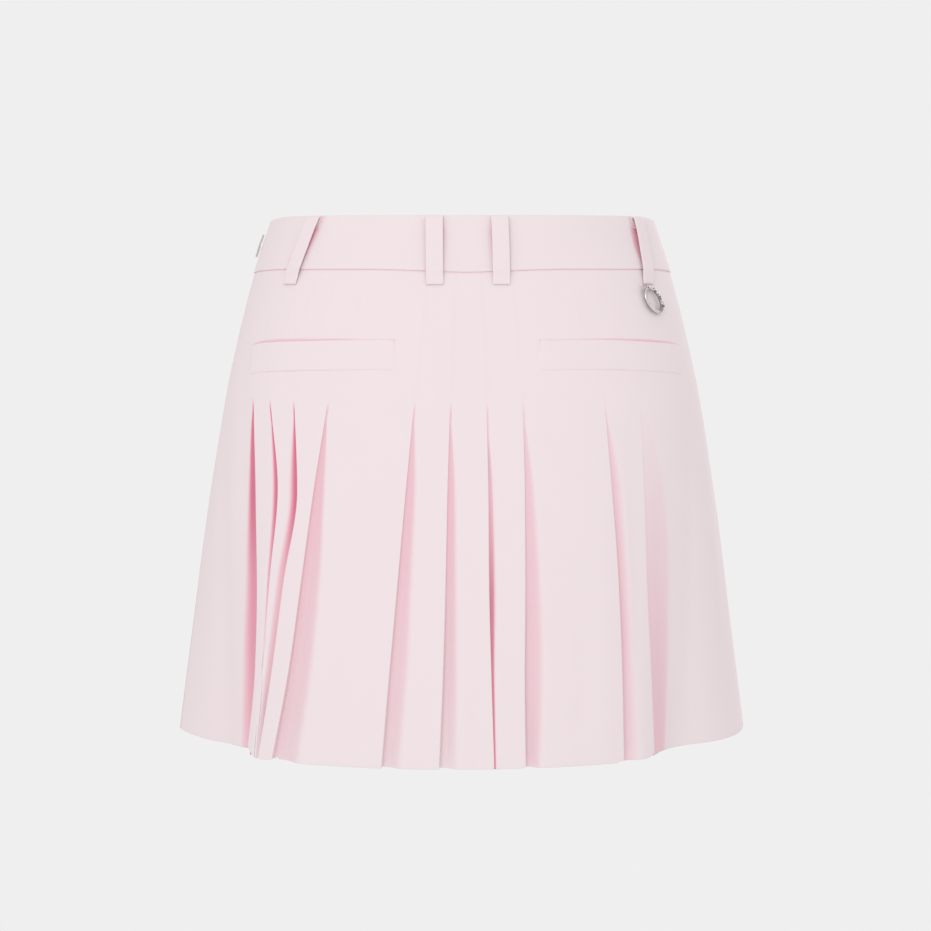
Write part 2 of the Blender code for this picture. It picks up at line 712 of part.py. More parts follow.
def build():
    for old in list(bpy.data.objects):
        bpy.data.objects.remove(old, do_unlink=True)
    shell = finish_material("shell_cloth", SHELL_PINK, 0.85)
    knit = finish_material("shorts_knit", KNIT_PINK, 0.9)
    silver = finish_material("silver_metal", SILVER, 0.2, metallic=1.0)
    plastic = finish_material("button_plastic", BUTTON_PINK, 0.35)
    add_waistband(shell)
    back, front_left, front_right = add_skirt(shell)
    for spot in LOOPS:
        add_belt_loop(spot, shell)
    for welt in WELTS:
        add_pocket_welt(welt, back, shell)
    add_fly_placket(front_left, front_right, shell)
    add_button(plastic)
    add_shorts("shorts_left", +1, knit)
    add_shorts("shorts_right", -1, knit)
    add_oval_ring(silver)
    add_oval_plate(silver)


build()
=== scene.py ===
# %% [markdown]
# # A pleated golf skort, seen from behind
# The garment is a pale pink A-line skirt with a flat waistband, six belt loops, two slim back
# pockets and pleats that are stitched down to hip level and then fall free. A pair of light knit
# shorts hangs inside it. It keeps the round form that it has when it is worn, with nobody in it.
#
# Every length below is a real one in metres. +Z is up, the wearer's left is +X and the back faces
# +Y. "Down" is a depth below the waistband's top edge at centre back. A "place" is a distance
# along the cloth from centre back, plus to the wearer's left.

import math
from collections import namedtuple
from functools import lru_cache

import bpy
import numpy as np
from mathutils import Matrix, Vector


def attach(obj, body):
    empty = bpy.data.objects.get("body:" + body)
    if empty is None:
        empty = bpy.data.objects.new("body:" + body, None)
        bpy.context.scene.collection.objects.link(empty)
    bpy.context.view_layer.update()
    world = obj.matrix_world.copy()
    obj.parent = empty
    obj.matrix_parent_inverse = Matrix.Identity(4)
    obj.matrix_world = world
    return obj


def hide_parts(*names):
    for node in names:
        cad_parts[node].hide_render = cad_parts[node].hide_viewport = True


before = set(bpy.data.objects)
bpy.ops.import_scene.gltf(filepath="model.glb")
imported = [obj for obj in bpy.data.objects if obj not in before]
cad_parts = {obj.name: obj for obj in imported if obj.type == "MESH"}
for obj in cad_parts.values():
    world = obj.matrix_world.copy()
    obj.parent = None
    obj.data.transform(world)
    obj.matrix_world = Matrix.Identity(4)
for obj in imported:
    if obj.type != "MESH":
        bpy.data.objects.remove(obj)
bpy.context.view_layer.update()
MM = 0.001

# %% [markdown]
# ## Smooth curves through short tables
# A pattern cutter writes down a few sizes and draws a fair curve through them. This helper does
# the same: it reads a table at any value between its rows, without overshooting the rows.


# %% Read a table along a smooth curve
def curve_through(xs, ys, x):
    """The height at x of a smooth curve through the points, flat beyond its two ends."""
    x = min(max(x, xs[0]), xs[-1])
    i = min(max(int(np.searchsorted(xs, x)) - 1, 0), len(xs) - 2)
    slopes = [(ys[k + 1] - ys[k]) / (xs[k + 1] - xs[k]) for k in range(len(xs) - 1)]

    def tangent(k):
        if k == 0 or k == len(xs) - 1:
            return slopes[min(k, len(slopes) - 1)]
        if slopes[k - 1] * slopes[k] <= 0:
            return 0.0
        return 2 * slopes[k - 1] * slopes[k] / (slopes[k - 1] + slopes[k])

    width = xs[i + 1] - xs[i]
    t = (x - xs[i]) / width
    return (
        (2 * t**3 - 3 * t**2 + 1) * ys[i]
        + (t**3 - 2 * t**2 + t) * width * tangent(i)
        + (3 * t**2 - 2 * t**3) * ys[i + 1]
        + (t**3 - t**2) * width * tangent(i + 1)
    )


def read(table, key, column, x):
    """A column of a table at x, where key names the column that x is measured in."""
    return curve_through([getattr(r, key) for r in table], [getattr(r, column) for r in table], x)


def ease(x):
    """From 0 to 1 with soft ends, for numbers and arrays."""
    x = np.clip(x, 0.0, 1.0)
    return x * x * (3 - 2 * x)


# %% [markdown]
# ## The body form
# The skirt hangs on a rounded form that widens downwards. It could be sculpted, but a table of
# slices keeps the garment's sizes in plain sight. Each row says how wide a slice is at the side
# seams and how deep towards the back and the front. A squareness of 2 makes an ellipse, and more
# than 2 makes flatter faces with rounder corners, as a seat has.

# %% The form's slices
Level = namedtuple("Level", "down half_width back_depth front_depth squareness")
BODY = [
    Level(0 * MM, 133.0 * MM, 100.0 * MM, 89 * MM, 2.20),
    Level(20 * MM, 139.5 * MM, 103.5 * MM, 93 * MM, 2.20),
    Level(41 * MM, 146.5 * MM, 107.0 * MM, 97 * MM, 2.25),
    Level(83 * MM, 157.5 * MM, 116.0 * MM, 105 * MM, 2.35),
    Level(124 * MM, 166.5 * MM, 125.0 * MM, 112 * MM, 2.40),
    Level(205 * MM, 180.5 * MM, 138.0 * MM, 124 * MM, 2.35),
    Level(295 * MM, 193.0 * MM, 147.5 * MM, 133 * MM, 2.20),
    Level(365 * MM, 202.5 * MM, 152.0 * MM, 139 * MM, 2.10),
]
STITCH_END = 124 * MM  # down to where the pleats are stitched
HEM = 365 * MM
HEM_DROP = 1 * MM  # the soft cloth hangs so much lower than its solid
SEAM_GAP = 0.3 * MM
SLICE_POINTS = 2161  # of half a slice; an odd number puts the middle one at the side seam


@lru_cache(maxsize=None)
def section(down):
    """The left half of a slice, from centre back to centre front: its points and their places."""
    half, back, front, square = (read(BODY, "down", c, down) for c in BODY[0]._fields[1:])
    angle = np.linspace(0, math.pi, SLICE_POINTS)
    x = half * np.abs(np.sin(angle)) ** (2 / square)
    y = np.abs(np.cos(angle)) ** (2 / square) * np.where(angle < math.pi / 2, back, -front)
    along = np.concatenate([[0], np.cumsum(np.hypot(np.diff(x), np.diff(y)))])
    return x, y, along


def side_place(down):
    """The side seam's place at a depth."""
    return float(section(round(down, 5))[2][SLICE_POINTS // 2])


def front_place(down):
    """Centre front's place at a depth."""
    return float(section(round(down, 5))[2][-1])


# %% Points on the form
REACH = 3 * MM  # to each side, where the form's direction is measured


def skin(place, down, out=0.0):
    """Points of the form at one depth, moved out along its plan normal. Takes arrays of places."""
    x, y, along = section(round(down, 5))
    whole = along[-1]
    place = np.asarray(place, float)
    place = np.where(abs(place) > whole, place - np.sign(place) * 2 * whole, place)
    side, here = np.where(place >= 0, 1.0, -1.0), abs(place)

    def at(where):
        mirrored = np.where(where < 0, -where, np.where(where > whole, 2 * whole - where, where))
        flip = np.where((where < 0) | (where > whole), -1.0, 1.0)
        return flip * np.interp(mirrored, along, x), np.interp(mirrored, along, y)

    (px, py), (ax, ay), (bx, by) = at(here), at(here + REACH), at(here - REACH)
    size = np.hypot(ax - bx, ay - by)
    return np.stack(
        [side * (px - out * (ay - by) / size), py + out * (ax - bx) / size, np.full_like(px, -down)],
        -1,
    )


def turn_of(place, down):
    """Where a place lies around the body: 0 at centre back, 0.5 at the side seam, 1 in front."""
    side, front = side_place(down), front_place(down)
    here = np.minimum(np.abs(place), front)
    turn = np.where(here < side, here / side / 2, 0.5 + (here - side) / (front - side) / 2)
    return np.copysign(turn, place)


def place_of(turn, down):
    """The place of a turn at a depth."""
    side, front = side_place(down), front_place(down)
    here = np.abs(turn)
    place = np.where(here < 0.5, 2 * here * side, side + (2 * here - 1) * (front - side))
    return np.copysign(place, turn)


print("around the hem:", round(2 * front_place(HEM), 3), "m")

# %% [markdown]
# ## The waistband's edges
# The band sits level at the back and dips a little towards the front, as a waist does. Its edges
# are a table too, so that the loops, the panels and the button can all be placed from them.

# %% Waistband edges
Edge = namedtuple("Edge", "turn top_down height")
WAIST_EDGE = [
    Edge(0.00, 0.0 * MM, 38.3 * MM),
    Edge(0.17, 0.1 * MM, 36.3 * MM),
    Edge(0.33, 0.7 * MM, 36.5 * MM),
    Edge(0.50, 5.0 * MM, 36.4 * MM),
    Edge(0.75, 15.0 * MM, 37.5 * MM),
    Edge(1.00, 23.0 * MM, 38.0 * MM),
]
BAND_LEVEL = 20 * MM  # where the waistband's places are measured


def band_top(turn):
    return read(WAIST_EDGE, "turn", "top_down", abs(turn))


def band_bottom(turn):
    return band_top(turn) + read(WAIST_EDGE, "turn", "height", abs(turn))


print("band height at the back and in front:", [round(band_bottom(t) - band_top(t), 4) for t in (0, 1)])

# %% [markdown]
# ## Small helpers for shaders
# A material is a graph of nodes. These helpers add a node, set what is written on it and join it
# up, so that each material below reads as a short recipe.


# %% Node helpers
def put(tree, kind, values=None, **settings):
    """A new node, with its settings and its unlinked inputs."""
    node = tree.nodes.new("ShaderNode" + kind)
    for key, value in settings.items():
        setattr(node, key, value)
    for key, value in (values or {}).items():
        node.inputs[key].default_value = value
    return node


def join(tree, source, output, target, socket):
    tree.links.new(source.outputs[output], target.inputs[socket])


def math_node(tree, operation, *sources, **settings):
    """A Math node fed by sockets or plain numbers."""
    node = put(tree, "Math", operation=operation, **settings)
    for k, source in enumerate(sources):
        if isinstance(source, (int, float)):
            node.inputs[k].default_value = source
        else:
            tree.links.new(source, node.inputs[k])
    return node.outputs[0]


def group_with(name, inputs, outputs):
    """An empty node group with named sockets, and its input and output nodes."""
    tree = bpy.data.node_groups.new(name, "ShaderNodeTree")
    for socket, kind, value in inputs:
        made = tree.interface.new_socket(socket, in_out="INPUT", socket_type="NodeSocket" + kind)
        made.default_value = value
    for socket, kind in outputs:
        tree.interface.new_socket(socket, in_out="OUTPUT", socket_type="NodeSocket" + kind)
    return tree, tree.nodes.new("NodeGroupInput"), tree.nodes.new("NodeGroupOutput")


def new_material(name, values):
    """A material whose Principled shader has these values, with its tree and its shader."""
    material = bpy.data.materials.new(name)
    material.use_nodes = True
    shader = material.node_tree.nodes["Principled BSDF"]
    for socket, value in values.items():
        shader.inputs[socket].default_value = value
    return material, material.node_tree, shader


# %% [markdown]
# ## Woven ribs
# The shell cloth is a smooth, firm twill. Up close it has fine slanting ribs with a slight
# unevenness, because no yarn is quite regular. A picture of cloth could be wrapped on, but a sine
# wave across the slant needs none and never shows where it repeats. The ribs follow the cloth's own
# coordinates, which every sheet below carries in metres, so they are the same size on every piece.


# %% Node group: twill
def make_twill():
    tree, given, result = group_with(
        "twill",
        [("Rib width", "Float", 0.0005), ("Unevenness", "Float", 0.35)],
        [("Height", "Float"), ("Mottle", "Float")],
    )
    cloth = put(tree, "UVMap", uv_map="cloth")
    across = put(tree, "SeparateXYZ")
    join(tree, cloth, "UV", across, "Vector")
    wobble = put(tree, "TexNoise", {"Scale": 900.0, "Detail": 2.0})
    join(tree, cloth, "UV", wobble, "Vector")
    slant = math_node(tree, "ADD", across.outputs["X"], across.outputs["Y"])
    turns = math_node(tree, "DIVIDE", slant, given.outputs["Rib width"])
    push = math_node(tree, "MULTIPLY", wobble.outputs["Fac"], given.outputs["Unevenness"])
    phase = math_node(tree, "MULTIPLY", math_node(tree, "ADD", turns, push), 2 * math.pi)
    rib = math_node(tree, "MULTIPLY_ADD", math_node(tree, "SINE", phase), 0.5, 0.5)
    tree.links.new(rib, result.inputs["Height"])
    patches = put(tree, "TexNoise", {"Scale": 38.0, "Detail": 3.0, "Roughness": 0.55})
    join(tree, cloth, "UV", patches, "Vector")
    join(tree, patches, "Fac", result, "Mottle")
    return tree


TWILL = make_twill()
print("group:", TWILL.name, [s.name for s in TWILL.interface.items_tree])

# %% [markdown]
# ## Colour in the folds
# Light that reaches the bottom of a pleat has bounced from pink cloth to pink cloth, and some has
# come through it, so a fold looks pinker and not only darker. More light bounces would show some
# of it, slowly and with noise. Here each mesh carries a value called "fold", from 0 on an open face
# to 1 deep in a narrow pleat. This group turns it into a colour: first towards a clear pink, as in
# a wide fold, and then towards a darker one.


# %% Node group: fold colour
SOFT_AT = 0.45  # the fold value that gives the soft colour


def make_fold_colour():
    tree, given, result = group_with(
        "fold colour",
        [(name, "Color", (1, 1, 1, 1)) for name in ("Face", "Soft", "Deep")]
        + [("Mottle", "Float", 0.5), ("Mottling", "Float", 0.02)],
        [("Color", "Color")],
    )
    fold = put(tree, "Attribute", attribute_name="fold").outputs["Fac"]
    colour = given.outputs["Face"]
    for name, start, end in (("Soft", 0.0, SOFT_AT), ("Deep", SOFT_AT, 1.0)):
        over = math_node(tree, "SUBTRACT", fold, start)
        share = math_node(tree, "DIVIDE", over, end - start, use_clamp=True)
        blend = put(tree, "Mix", data_type="RGBA", blend_type="MIX")
        tree.links.new(share, blend.inputs["Factor"])
        tree.links.new(colour, blend.inputs[6])
        tree.links.new(given.outputs[name], blend.inputs[7])
        colour = blend.outputs[2]
    centred = math_node(tree, "SUBTRACT", given.outputs["Mottle"], 0.5)
    value = math_node(tree, "MULTIPLY_ADD", centred, given.outputs["Mottling"], 1.0)
    shade = put(tree, "HueSaturation")
    tree.links.new(colour, shade.inputs["Color"])
    tree.links.new(value, shade.inputs["Value"])
    join(tree, shade, "Color", result, "Color")
    return tree


FOLD_COLOUR = make_fold_colour()
print("group:", FOLD_COLOUR.name)

# %% [markdown]
# ## The shell cloth
# A matte woven cloth scatters light evenly and has only a little sheen at grazing angles. The
# Principled shader stays in the material, and the two groups give it its colour and its ribs.

# %% Material: shell cloth
# FACE_PINK is the cloth's own colour. SOFT_PINK and DEEP_PINK are painted shade and painted bounced
# light, mixed in by the fold value.
FACE_PINK = (0.812, 0.710, 0.727, 1.0)
SOFT_PINK = (0.812, 0.510, 0.575, 1.0)
DEEP_PINK = (0.670, 0.185, 0.275, 1.0)


def fold_coloured(tree, shader, face, soft, deep):
    """Give a shader the fold colour, and return the group's node."""
    colour = put(tree, "Group", {}, node_tree=FOLD_COLOUR)
    for name, value in (("Face", face), ("Soft", soft), ("Deep", deep)):
        colour.inputs[name].default_value = value
    join(tree, colour, "Color", shader, "Base Color")
    return colour


def make_shell_cloth(name="shell twill", rib=0.5 * MM, bump=0.12):
    material, tree, shader = new_material(
        name,
        {
            "Roughness": 0.88,
            "Sheen Weight": 0.05,
            "Sheen Roughness": 0.5,
            "Specular IOR Level": 0.2,
        },
    )
    twill = put(tree, "Group", {}, node_tree=TWILL)
    twill.inputs["Rib width"].default_value = rib
    colour = fold_coloured(tree, shader, FACE_PINK, SOFT_PINK, DEEP_PINK)
    join(tree, twill, "Mottle", colour, "Mottle")
    relief = put(tree, "Bump", {"Strength": bump, "Distance": 0.05 * MM})
    join(tree, twill, "Height", relief, "Height")
    join(tree, relief, "Normal", shader, "Normal")
    return material


SHELL_CLOTH = make_shell_cloth()
print("material:", SHELL_CLOTH.name)

# %% [markdown]
# ## From rows of points to a piece of cloth
# A sheet is a grid: rows from top to bottom, columns from the wearer's left to the right. Its
# points are worked out and not pulled by hand, so a fold stays where the tables put it. It gets the
# cloth's own coordinates in metres for the weave, the "fold" value for the colour, and a Solidify
# modifier that gives it the thickness of real cloth, equally to both sides.

# %% Build a sheet
SHELL = 0.5 * MM  # the shell cloth as it really is


def link(name, mesh, material):
    mesh.materials.append(material)
    mesh.shade_smooth()
    piece = bpy.data.objects.new(name, mesh)
    bpy.context.scene.collection.objects.link(piece)
    return piece


def thicken(piece, thickness):
    """Thickness to both sides of the sheet."""
    solid = piece.modifiers.new("thickness", "SOLIDIFY")
    solid.thickness = thickness
    solid.offset = 0.0


def belongs(piece, node=None):
    """The piece moves with the garment. It may stand for a solid, which is then hidden."""
    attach(piece, "root")
    if node:
        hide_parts(node)
    return piece


def grid_faces(rows, columns):
    """Faces of a grid, seen from outside."""
    r, c = np.meshgrid(np.arange(rows - 1), np.arange(columns - 1), indexing="ij")
    first = (r * columns + c).ravel()
    return np.stack([first, first + columns, first + columns + 1, first + 1], -1)


def mesh_from(name, points, faces, uvs, fold):
    """A mesh with the cloth's coordinates and its fold value at every point."""
    mesh = bpy.data.meshes.new(name)
    mesh.from_pydata([tuple(p) for p in points], [], [tuple(f) for f in faces])
    corners = np.empty(len(mesh.loops), int)
    mesh.loops.foreach_get("vertex_index", corners)
    layer = mesh.uv_layers.new(name="cloth")
    layer.data.foreach_set("uv", np.asarray(uvs, np.float32)[corners].ravel())
    value = mesh.attributes.new("fold", "FLOAT", "POINT")
    value.data.foreach_set("value", np.asarray(fold, np.float32))
    return mesh


def sheet_from(name, rows, fold, material, thickness):
    """A sheet through an array of rows x columns x 3, with a fold value for each point."""
    rows = np.asarray(rows, float)
    across = np.linalg.norm(np.diff(rows, axis=1), axis=2)
    down = np.linalg.norm(np.diff(rows, axis=0), axis=2)
    u = np.concatenate([np.zeros((len(rows), 1)), np.cumsum(across, axis=1)], axis=1)
    u -= u[:, -1:] / 2
    v = -np.concatenate([np.zeros((1, rows.shape[1])), np.cumsum(down, axis=0)], axis=0)
    uvs = np.stack([u, v], -1).reshape(-1, 2)
    faces = grid_faces(*rows.shape[:2])
    mesh = mesh_from(name, rows.reshape(-1, 3), faces, uvs, np.asarray(fold).ravel())
    piece = link(name, mesh, material)
    if thickness:
        thicken(piece, thickness)
    width, length = across.sum(axis=1), np.median(down, axis=1).sum()
    print(f"{name}: {len(faces)} faces, {width.max():.3f} m wide, {length:.3f} m long, "
          f"about {length * width.mean():.4f} m2")
    return piece


# %% [markdown]
# ## The pleats
# A knife pleat is a fold to one side: the cloth runs to a sharp edge, turns back under itself and
# comes out again a little deeper. A cloth simulation could fold it, but pressed pleats keep to
# set lines, so each gets its own row of sizes: where they fall free they open, each by another
# width and at another slant. "Waist" is the edge's place at the waist seam. "Edge", "wide" and
# "pink" are given at five heights, from where the stitching ends (0) to the hem (1), and "deep" at
# the hem. The recess lies to the wearer's left (+1) or right (-1) of the edge. "Pink" is how
# strongly the recess is tinted with painted shade, "holds" is the share of it that keeps that
# painted shade, and "line" is how deep the stitched part shows, which also sets the painted shade
# along it. Places and sizes are in millimetres.

# %% Pleat table
Pleat = namedtuple("Pleat", "name lies waist edge wide deep pink holds line")
HEIGHTS = [0.0, 0.25, 0.5, 0.75, 1.0]
BACK_PLEATS = [
    Pleat("left_side", +1, 132, (158.5, 154.2, 152.7, 155.2, 162.5), (0, 11.5, 20, 26.5, 28), 3.0,
          (1.0, 1.0, 0.78, 0.68, 0.52), 0.78, 0.03),
    Pleat("left_finger", +1, 118, (141.2, 133.2, 140.0, 146.3, 152.5), (0, 4.9, 2.6, 1.6, 1.6), 2.5,
          (1.0, 1.0, 0.6, 0.1, 0.0), 0.50, 0.03),
    Pleat("left_slant", +1, 101, (120.4, 117.6, 128.3, 138.3, 150.0), (0, 6.6, 6.5, 6.3, 2.2), 5.0,
          (1.0, 1.0, 0.50, 0.34, 0.20), 0.45, 0.05),
    Pleat("left_wide", -1, 80, (95.1, 105.7, 115.2, 125.3, 138.5), (0, 8, 14, 17.4, 20.5), 7.0,
          (0.38, 0.38, 0.29, 0.21, 0.14), 0.84, 0.03),
    Pleat("centre_first", -1, 31.0, (35.9, 42.0, 47.7, 53.5, 58.9), (0, 7, 10, 13, 13.2), 6.0,
          (0.34, 0.36, 0.29, 0.20, 0.09), 0.72, 0.06),
    Pleat("centre_second", -1, 10.7, (12.0, 14.1, 15.6, 17.5, 20.2), (0, 5.7, 7.7, 10.1, 12.7), 6.0,
          (0.34, 0.36, 0.27, 0.18, 0.04), 0.72, 0.08),
    Pleat("centre_third", -1, -10.1, (-12.1, -13.1, -13.4, -14.7, -16.5), (0, 3.5, 4.4, 2.5, 1.6), 6.0,
          (0.28, 0.34, 0.60, 0.75, 0.85), 0.70, 0.08),
    Pleat("centre_fourth", -1, -34.5, (-36.3, -37.5, -37.6, -37.1, -37.8), (0, 6.3, 10.1, 12.4, 10.2),
          6.0, (0.20, 0.27, 0.28, 0.24, 0.16), 0.80, 0.06),
    Pleat("right_wide", -1, -79, (-93.3, -98.5, -103.4, -106.5, -108.1), (0, 8.9, 9.4, 11.4, 14.8),
          5.0, (0.20, 0.34, 0.38, 0.34, 0.26), 0.22, 0.03),
    Pleat("right_side", -1, -104, (-121.6, -124.8, -127.9, -133.0, -137.5), (0, 20, 26, 25, 22), 2.0,
          (0.0, 0.10, 0.20, 0.30, 0.36), 0.85, 0.02),
]
# In front the pleats are measured from centre front, for the left side, and mirrored.
# The front pleats' painted shade at the five heights.
PLAIN_PINK = (0.40, 0.42, 0.42, 0.40, 0.35)
FRONT_PLEATS = [
    Pleat("front_inner", +1, 53, (60, 61, 62, 64, 66), (0, 6.5, 9.5, 11, 12), 7.0,
          PLAIN_PINK, 0.68, 0.15),
    Pleat("front_middle", +1, 75, (85, 86.5, 89, 92.5, 97), (0, 6, 9, 11, 12.5), 7.0,
          PLAIN_PINK, 0.65, 0.15),
    Pleat("front_outer", +1, 97, (110, 113, 118, 124, 131), (0, 7, 10, 12, 13), 7.0,
          PLAIN_PINK, 0.62, 0.12),
]

# %% [markdown]
# ## The shape of one fold
# This table is the fold's outline seen from below, from the open face over the folded edge into
# the recess and up again. "Beside" is in millimetres, "wide", "tuck" and "deep" are shares of the
# recess and of the hidden tuck behind the edge. A smooth curve through these points gives a thin,
# rounded edge, where straight lines would look like cardboard.

# %% Fold outline
Across = namedtuple("Across", "beside wide tuck deep pink")
# "Pink" is the share of the pleat's painted shade at each point of the outline.
FOLD = [
    Across(-1.6, 0.00, 0.00, 0.00, 0.00),
    Across(-0.7, 0.00, 0.00, 0.01, 0.00),
    Across(-0.1, 0.00, 0.00, 0.06, 0.10),
    Across(0.0, 0.00, -0.02, 0.14, 0.85),
    Across(-0.2, 0.00, -0.35, 0.32, 1.00),
    Across(-0.1, 0.02, -0.85, 0.72, 1.00),
    Across(0.1, 0.05, -1.00, 0.97, 1.00),
    Across(0.0, 0.18, -0.35, 1.03, 1.00),
    Across(0.0, 0.42, 0.00, 0.90, 1.00),
    Across(0.0, 0.70, 0.00, 0.48, 1.00),
    Across(0.0, 0.90, 0.00, 0.16, 1.00),
    Across(0.6, 1.04, 0.00, 0.03, 1.00),
    Across(1.8, 1.12, 0.00, 0.00, 1.00),
]
SAMPLES = 3  # columns of the mesh between two of these points
LEAST_WIDE = 1.6 * MM
STEEPNESS = 1.2  # how much deeper a recess may be for each step wider
TUCK, TUCK_FROM = 0.45, 3 * MM
DEEPENS_LIKE, LEAST_DEEP = 0.8, 0.4 * MM
SEEN_WITHIN = 0.03  # the painted shade comes up in this share of the free length
FULL_BESIDE = 4 * MM  # a recess narrower than this draws "beside" in too
FADED_AT = 1.08  # the share of the recess's width where no painted shade is left
LINE_PINK = 0.4  # the painted shade of a stitched pleat's line for each millimetre of its depth


def through(points, samples):
    """Points along a smooth curve through the given ones (Catmull-Rom), as an array."""
    p = np.asarray(points, float)
    p = np.concatenate([2 * p[:1] - p[1:2], p, 2 * p[-1:] - p[-2:-1]])
    t = np.linspace(0, 1, samples, endpoint=False)[:, None, None]
    a, b, c, d = p[:-3], p[1:-2], p[2:-1], p[3:]
    curve = 0.5 * (2 * b + (c - a) * t + (2 * a - 5 * b + 4 * c - d) * t**2
                   + (3 * b - a - 3 * c + d) * t**3)
    return np.concatenate([curve.transpose(1, 0, 2).reshape(-1, p.shape[1]), p[-2:-1]])


def released(down):
    """0 where the pleats' stitching ends, 1 at the hem."""
    return min(max((down - STITCH_END) / (HEM - STITCH_END), 0.0), 1.0)


def fold_columns(pleat, down, yoke_share):
    """A pleat's columns at a depth as rows of (place, inward, fold), from the wearer's left."""
    share = released(down)
    edge = curve_through(HEIGHTS, pleat.edge, share) * MM
    wide = max(curve_through(HEIGHTS, pleat.wide, share) * MM, LEAST_WIDE)
    deep = min(pleat.deep * MM * share**DEEPENS_LIKE, LEAST_DEEP + STEEPNESS * (wide - LEAST_WIDE))
    pink = curve_through(HEIGHTS, pleat.pink, share) * float(ease(share / SEEN_WITHIN))
    if yoke_share < 1.0:
        edge = (pleat.waist + (pleat.edge[0] - pleat.waist) * yoke_share) * MM
        pink, wide = LINE_PINK * pleat.line, 2 * LEAST_WIDE
    deep = max(deep, pleat.line * MM)
    tuck = TUCK * max(deep - TUCK_FROM, 0.0)
    columns = []
    for f in FOLD:
        along = f.beside * MM * min(wide / FULL_BESIDE, 1.0) + f.wide * wide + f.tuck * tuck
        fades = 1 - float(ease((f.wide - pleat.holds) / (FADED_AT - pleat.holds)))
        columns.append((edge + pleat.lies * along, deep * f.deep, pink * f.pink * fades))
    columns = through(columns, SAMPLES)
    return columns if pleat.lies < 0 else columns[::-1]


print("pleats:", [pleat.name for pleat in BACK_PLEATS + FRONT_PLEATS])

# %% [markdown]
# ## How the sides hang
# Towards the sides the free cloth swings in a little under its own weight, more on the wearer's
# right, and comes out again at the side seams. The move is tied to the outer pleats' edges, so
# that it turns where they do.

# %% Side panels
# (share of the way from the outer pleat's edge to the side seam, mm in)
LEFT_HANG = [
    (-0.180, 0.0), (-0.070, 1.0), (0.000, 4.5), (0.025, 9.0), (0.057, 17.0), (0.100, 21.5),
    (0.150, 22.5), (0.360, 22.0), (0.570, 16.0), (1.000, 0.0),
]
RIGHT_HANG = [
    (-0.34, 0.0), (-0.18, 2.0), (-0.06, 5.5), (0.00, 8.5), (0.05, 12.5), (0.10, 17.5),
    (0.16, 21.5), (0.24, 23.5), (0.34, 22.0), (0.50, 14.0), (0.70, 6.0), (1.00, 0.0),
]
OUTER_PLEATS = {+1: BACK_PLEATS[0], -1: BACK_PLEATS[-1]}
BEYOND = np.linspace(-0.3, 1.0, 521)
SWINGS_LIKE = 1.2  # the power of the free share by which the cloth swings in
HANG_BY = {
    side: np.array([curve_through(*zip(*hang), b) for b in BEYOND]) * MM
    for side, hang in ((+1, LEFT_HANG), (-1, RIGHT_HANG))
}


def set_back(place, down):
    """How far the cloth hangs inside the body form, for an array of places."""
    share = released(down)
    total = np.zeros_like(place)
    for side, pleat in OUTER_PLEATS.items():
        edge = side * curve_through(HEIGHTS, pleat.edge, share) * MM
        beyond = (side * place - edge) / (side_place(down) - edge)
        total += np.where(side * place > 0, np.interp(beyond, BEYOND, HANG_BY[side]), 0.0)
    return total * share**SWINGS_LIKE


print("hangs in by up to", round(max(h.max() for h in HANG_BY.values()) / MM, 1), "mm")

# %% [markdown]
# ## Creases placed one by one
# Between the pleats the cloth is nearly plain, with a few long, soft waves and some short ticks
# where a stitched pleat pulls. Each row is a line from one point to another, with its own length,
# breadth and depth in millimetres, since even spacing would look machine made. A minus depth is a
# ridge.

# %% Crease table
Crease = namedtuple("Crease", "place down to_place to_down breadth deep")
BACK_CREASES = [Crease(*row) for row in (
    (205, 150, 214, 352, 13, 0.9), (188, 170, 190, 330, 9, -0.5), (176, 90, 171, 210, 8, 0.5),
    (84, 180, 98, 350, 11, 0.5), (66, 150, 72, 300, 9, -0.35), (62, 46, 57, 78, 7, 0.35),
    (104, 50, 112, 76, 8, -0.3), (26, 190, 33, 340, 6, 0.3), (-25, 170, -27, 335, 6, 0.35),
    (-60, 160, -64, 320, 12, 0.4), (-79, 240, -77, 355, 8, 0.8), (-92, 200, -97, 352, 6, -0.5),
    (-115, 150, -120, 330, 5.5, 0.9), (-58, 52, -66, 74, 8, 0.3), (-112, 48, -118, 74, 9, 0.35),
    (-176, 150, -182, 345, 10, 0.8), (-200, 120, -214, 300, 12, -0.6),
    (-232, 190, -236, 360, 11, 0.7), (131, 66, 129, 80, 2.6, 0.35), (150, 58, 154, 80, 5, 0.3),
)]
FRONT_CREASES = [Crease(*row) for row in (
    (22, 200, 26, 345, 9, 0.6), (44, 150, 47, 300, 8, -0.4), (78, 190, 84, 340, 6, 0.5),
    (150, 130, 160, 330, 12, 0.9), (174, 90, 188, 290, 10, -0.6), (198, 170, 214, 355, 12, 0.8),
    (130, 60, 140, 100, 9, 0.5), (34, 62, 41, 110, 6, 0.4),
)]
REACHES = 0.25  # beyond each end of a crease, as a share of its length
SPREAD = 1.4  # how fast a crease fades across; more makes it narrower


def crease_at(creases, place, down, side):
    """How far creases press the cloth in. In front (side +1 or -1) they start at centre front."""
    place = np.atleast_1d(np.asarray(place, float))
    if side is not None:
        place = front_place(down) - side * place
    total = np.zeros_like(place)
    for c in creases:
        length = (down / MM - c.down) / (c.to_down - c.down)
        if not -REACHES < length < 1 + REACHES:
            continue
        middle = (c.place + (c.to_place - c.place) * length) * MM
        fades = [ease((end + REACHES) / (2 * REACHES)) for end in (length, 1 - length)]
        across = np.exp(-(((place - middle) / (c.breadth * MM)) ** 2) * SPREAD)
        total += c.deep * MM * fades[0] * fades[1] * across
    return total if len(total) > 1 else float(total[0])


print("creases:", len(BACK_CREASES), "at the back,", len(FRONT_CREASES), "in each front")

